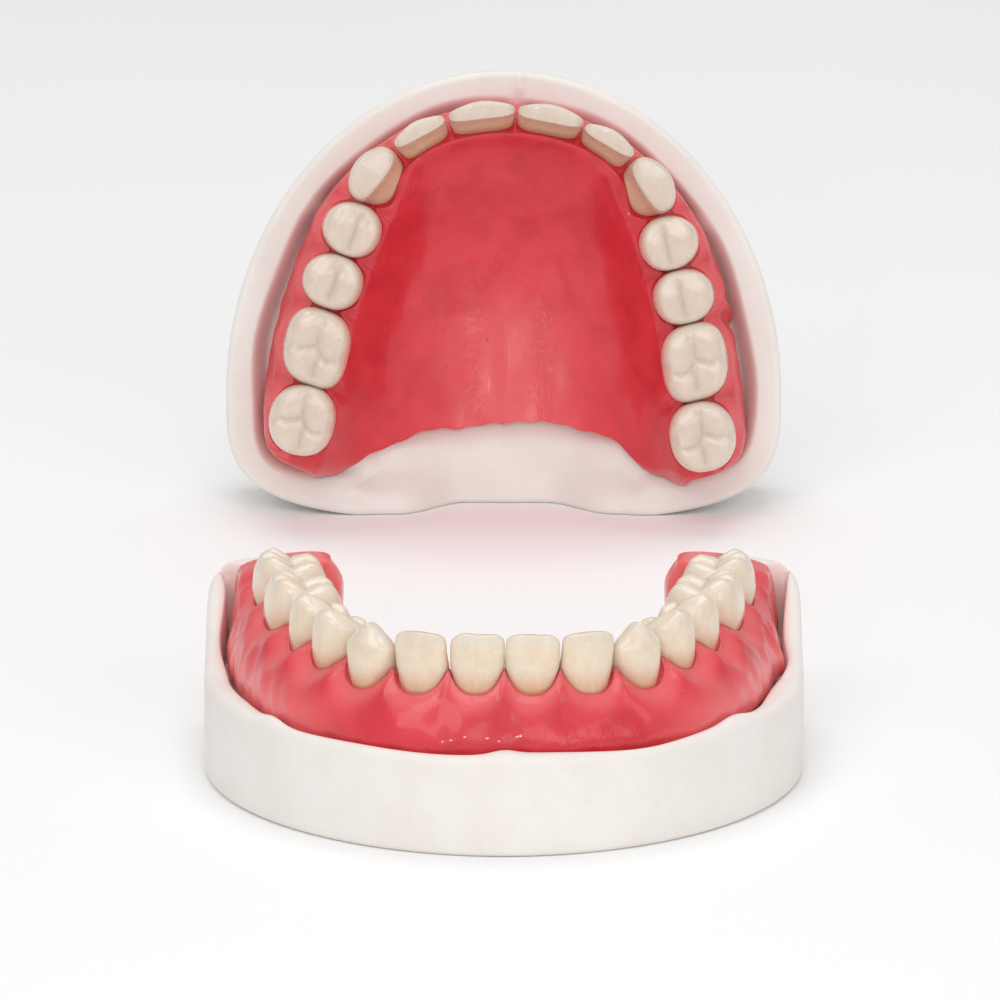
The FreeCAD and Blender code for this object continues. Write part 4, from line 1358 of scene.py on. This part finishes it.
def make_upper_cast():
    """Full slab with the ridge, groove and palate on its biting side and a slanting heel."""
    grid = upper_cast_plan()
    rows, columns = grid.shape[:2]
    flat = grid.reshape(-1, 2)
    s, offset = upper.locate(flat)
    edge = UPPER_EGG.depth_inside(flat).reshape(rows, columns)
    side_gap = UPPER_EGG.side_distance(flat).reshape(rows, columns)
    depth = upper_top(s.reshape(rows, columns), offset.reshape(rows, columns), grid, edge, side_gap)
    back = node_box("upper", "upper_cast")[1][2] - upper.occlusal
    back_columns = np.concatenate([np.arange(0, 30, 2), [36, 48, 72, 96, 120, columns - 1]])
    lean = math.tan(math.radians(HEEL_LEAN))
    top_points = sheared(grid, depth, lean)
    back_points = sheared(grid, back - rounded_edge(edge, BACK_ROUND), lean)[:, back_columns]
    wall = wall_between(top_points[:, 0], back_points[:, 0], WALL_LEVELS)
    back_start = rows * columns
    wall_start = back_start + rows * len(back_columns)
    faces = np.concatenate([polar_faces(rows, columns),
                            polar_faces(rows, len(back_columns))[:, ::-1] + back_start,
                            grid_faces(WALL_LEVELS + 1, rows, True, wall_start)])
    points = np.concatenate([side.reshape(-1, 3) for side in (top_points, back_points, wall)])
    # Painted pink reflection of the gum on the groove round the flange
    in_groove = bell(side_gap.ravel(), UPPER_RIM_WIDTH + 1.5, 1.3) * (offset > 0.0)
    add_cast(upper, points, faces, 0.75 * in_groove)


def sheared(grid, depth, lean):
    """Points of a grid, leaned so that its rear edge follows the slanting heel."""
    share = smooth_step(grid[..., 1], 30.0, UPPER_HEEL_Y)
    y = grid[..., 1] - (depth - UPPER_LAND) * lean * share
    return np.stack([grid[..., 0], y, upper.level(depth)], axis=-1)


def polar_faces(rows, columns):
    """Quads of a grid that is closed round its rows. Its inmost column is a single place."""
    row, column = np.meshgrid(np.arange(rows), np.arange(columns - 1), indexing="ij")
    after = (row + 1) % rows
    quads = np.stack([row * columns + column, row * columns + column + 1,
                      after * columns + column + 1, after * columns + column], axis=-1)
    return quads.reshape(-1, 4)


make_lower_cast()
make_upper_cast()

# ---------------------------------------------------------------- stage


FLOOR_HALF = 4.0
WORLD_STRENGTH = 0.56
# Name, place, target, size and power of each soft light
LIGHTS = (
    ("key", (-0.45, -0.65, 0.75), (0.0, 0.06, 0.02), (0.35, 0.5), 1.4),
    ("fill", (0.6, -0.7, 0.45), (0.0, 0.06, 0.02), (0.4, 0.5), 1.0),
    ("front", (0.15, -1.0, 0.5), (0.0, 0.15, 0.03), (0.5, 0.4), 1.2),
    ("glint", (-0.22, -1.15, 0.44), (0.0, 0.13, 0.03), (0.05, 0.05), 0.6),
    ("top", (0.0, 0.35, 0.9), (0.0, 0.08, 0.02), (0.6, 0.5), 2.1),
    ("lift", (0.0, -0.2, 0.5), (0.0, 0.12, 0.06), (0.25, 0.2), 0.35),
)


def make_stage():
    """Plain pale floor."""
    mesh = bpy.data.meshes.new("floor")
    corners = [(x * FLOOR_HALF, y * FLOOR_HALF, 0.0) for x, y in ((-1, -1), (1, -1), (1, 1), (-1, 1))]
    mesh.from_pydata(corners, [], [(0, 1, 2, 3)])
    floor = bpy.data.objects.new("floor", mesh)
    bpy.context.scene.collection.objects.link(floor)
    n = Nodes("floor_paper")
    cloud = n.remap(n.noise(160.0, 2.0), 0.3, 0.7)
    tone = n.mix(cloud, (0.955, 0.955, 0.955, 1.0), (0.97, 0.97, 0.97, 1.0))
    n.set(Base_Color=tone, Roughness=0.85)
    mesh.materials.append(n.material)


def add_light(name, location, target, size, power):
    """Soft rectangular light aimed at a target."""
    data = bpy.data.lights.new(name, "AREA")
    data.shape = "RECTANGLE"
    data.size, data.size_y = size
    data.energy = power
    light = bpy.data.objects.new(name, data)
    light.location = location
    light.rotation_euler = (Vector(target) - Vector(location)).to_track_quat("-Z", "Y").to_euler()
    bpy.context.scene.collection.objects.link(light)


CAMERA_TARGET = Vector((-0.0005, 0.060, 0.0265))
CAMERA_DISTANCE = 1.5
CAMERA_ELEVATION = 14.74
CAMERA_LENS = 429.8


def make_camera():
    """Long lens, level with the midline and looking a little down."""
    data = bpy.data.cameras.new("camera")
    data.lens = CAMERA_LENS
    data.clip_end = 20.0
    camera = bpy.data.objects.new("camera", data)
    tilt = math.radians(CAMERA_ELEVATION)
    away = Vector((0.0, -math.cos(tilt), math.sin(tilt)))
    camera.location = CAMERA_TARGET + away * CAMERA_DISTANCE
    camera.rotation_euler = (-away).to_track_quat("-Z", "Y").to_euler()
    bpy.context.scene.collection.objects.link(camera)
    bpy.context.scene.camera = camera


def make_world():
    """Even white surroundings."""
    world = bpy.data.worlds.new("studio")
    world.use_nodes = True
    background = world.node_tree.nodes["Background"]
    background.inputs["Color"].default_value = (1.0, 1.0, 1.0, 1.0)
    background.inputs["Strength"].default_value = WORLD_STRENGTH
    bpy.context.scene.world = world
    bpy.context.scene.view_settings.view_transform = "Standard"


make_stage()
make_camera()
make_world()
for light in LIGHTS:
    add_light(*light)
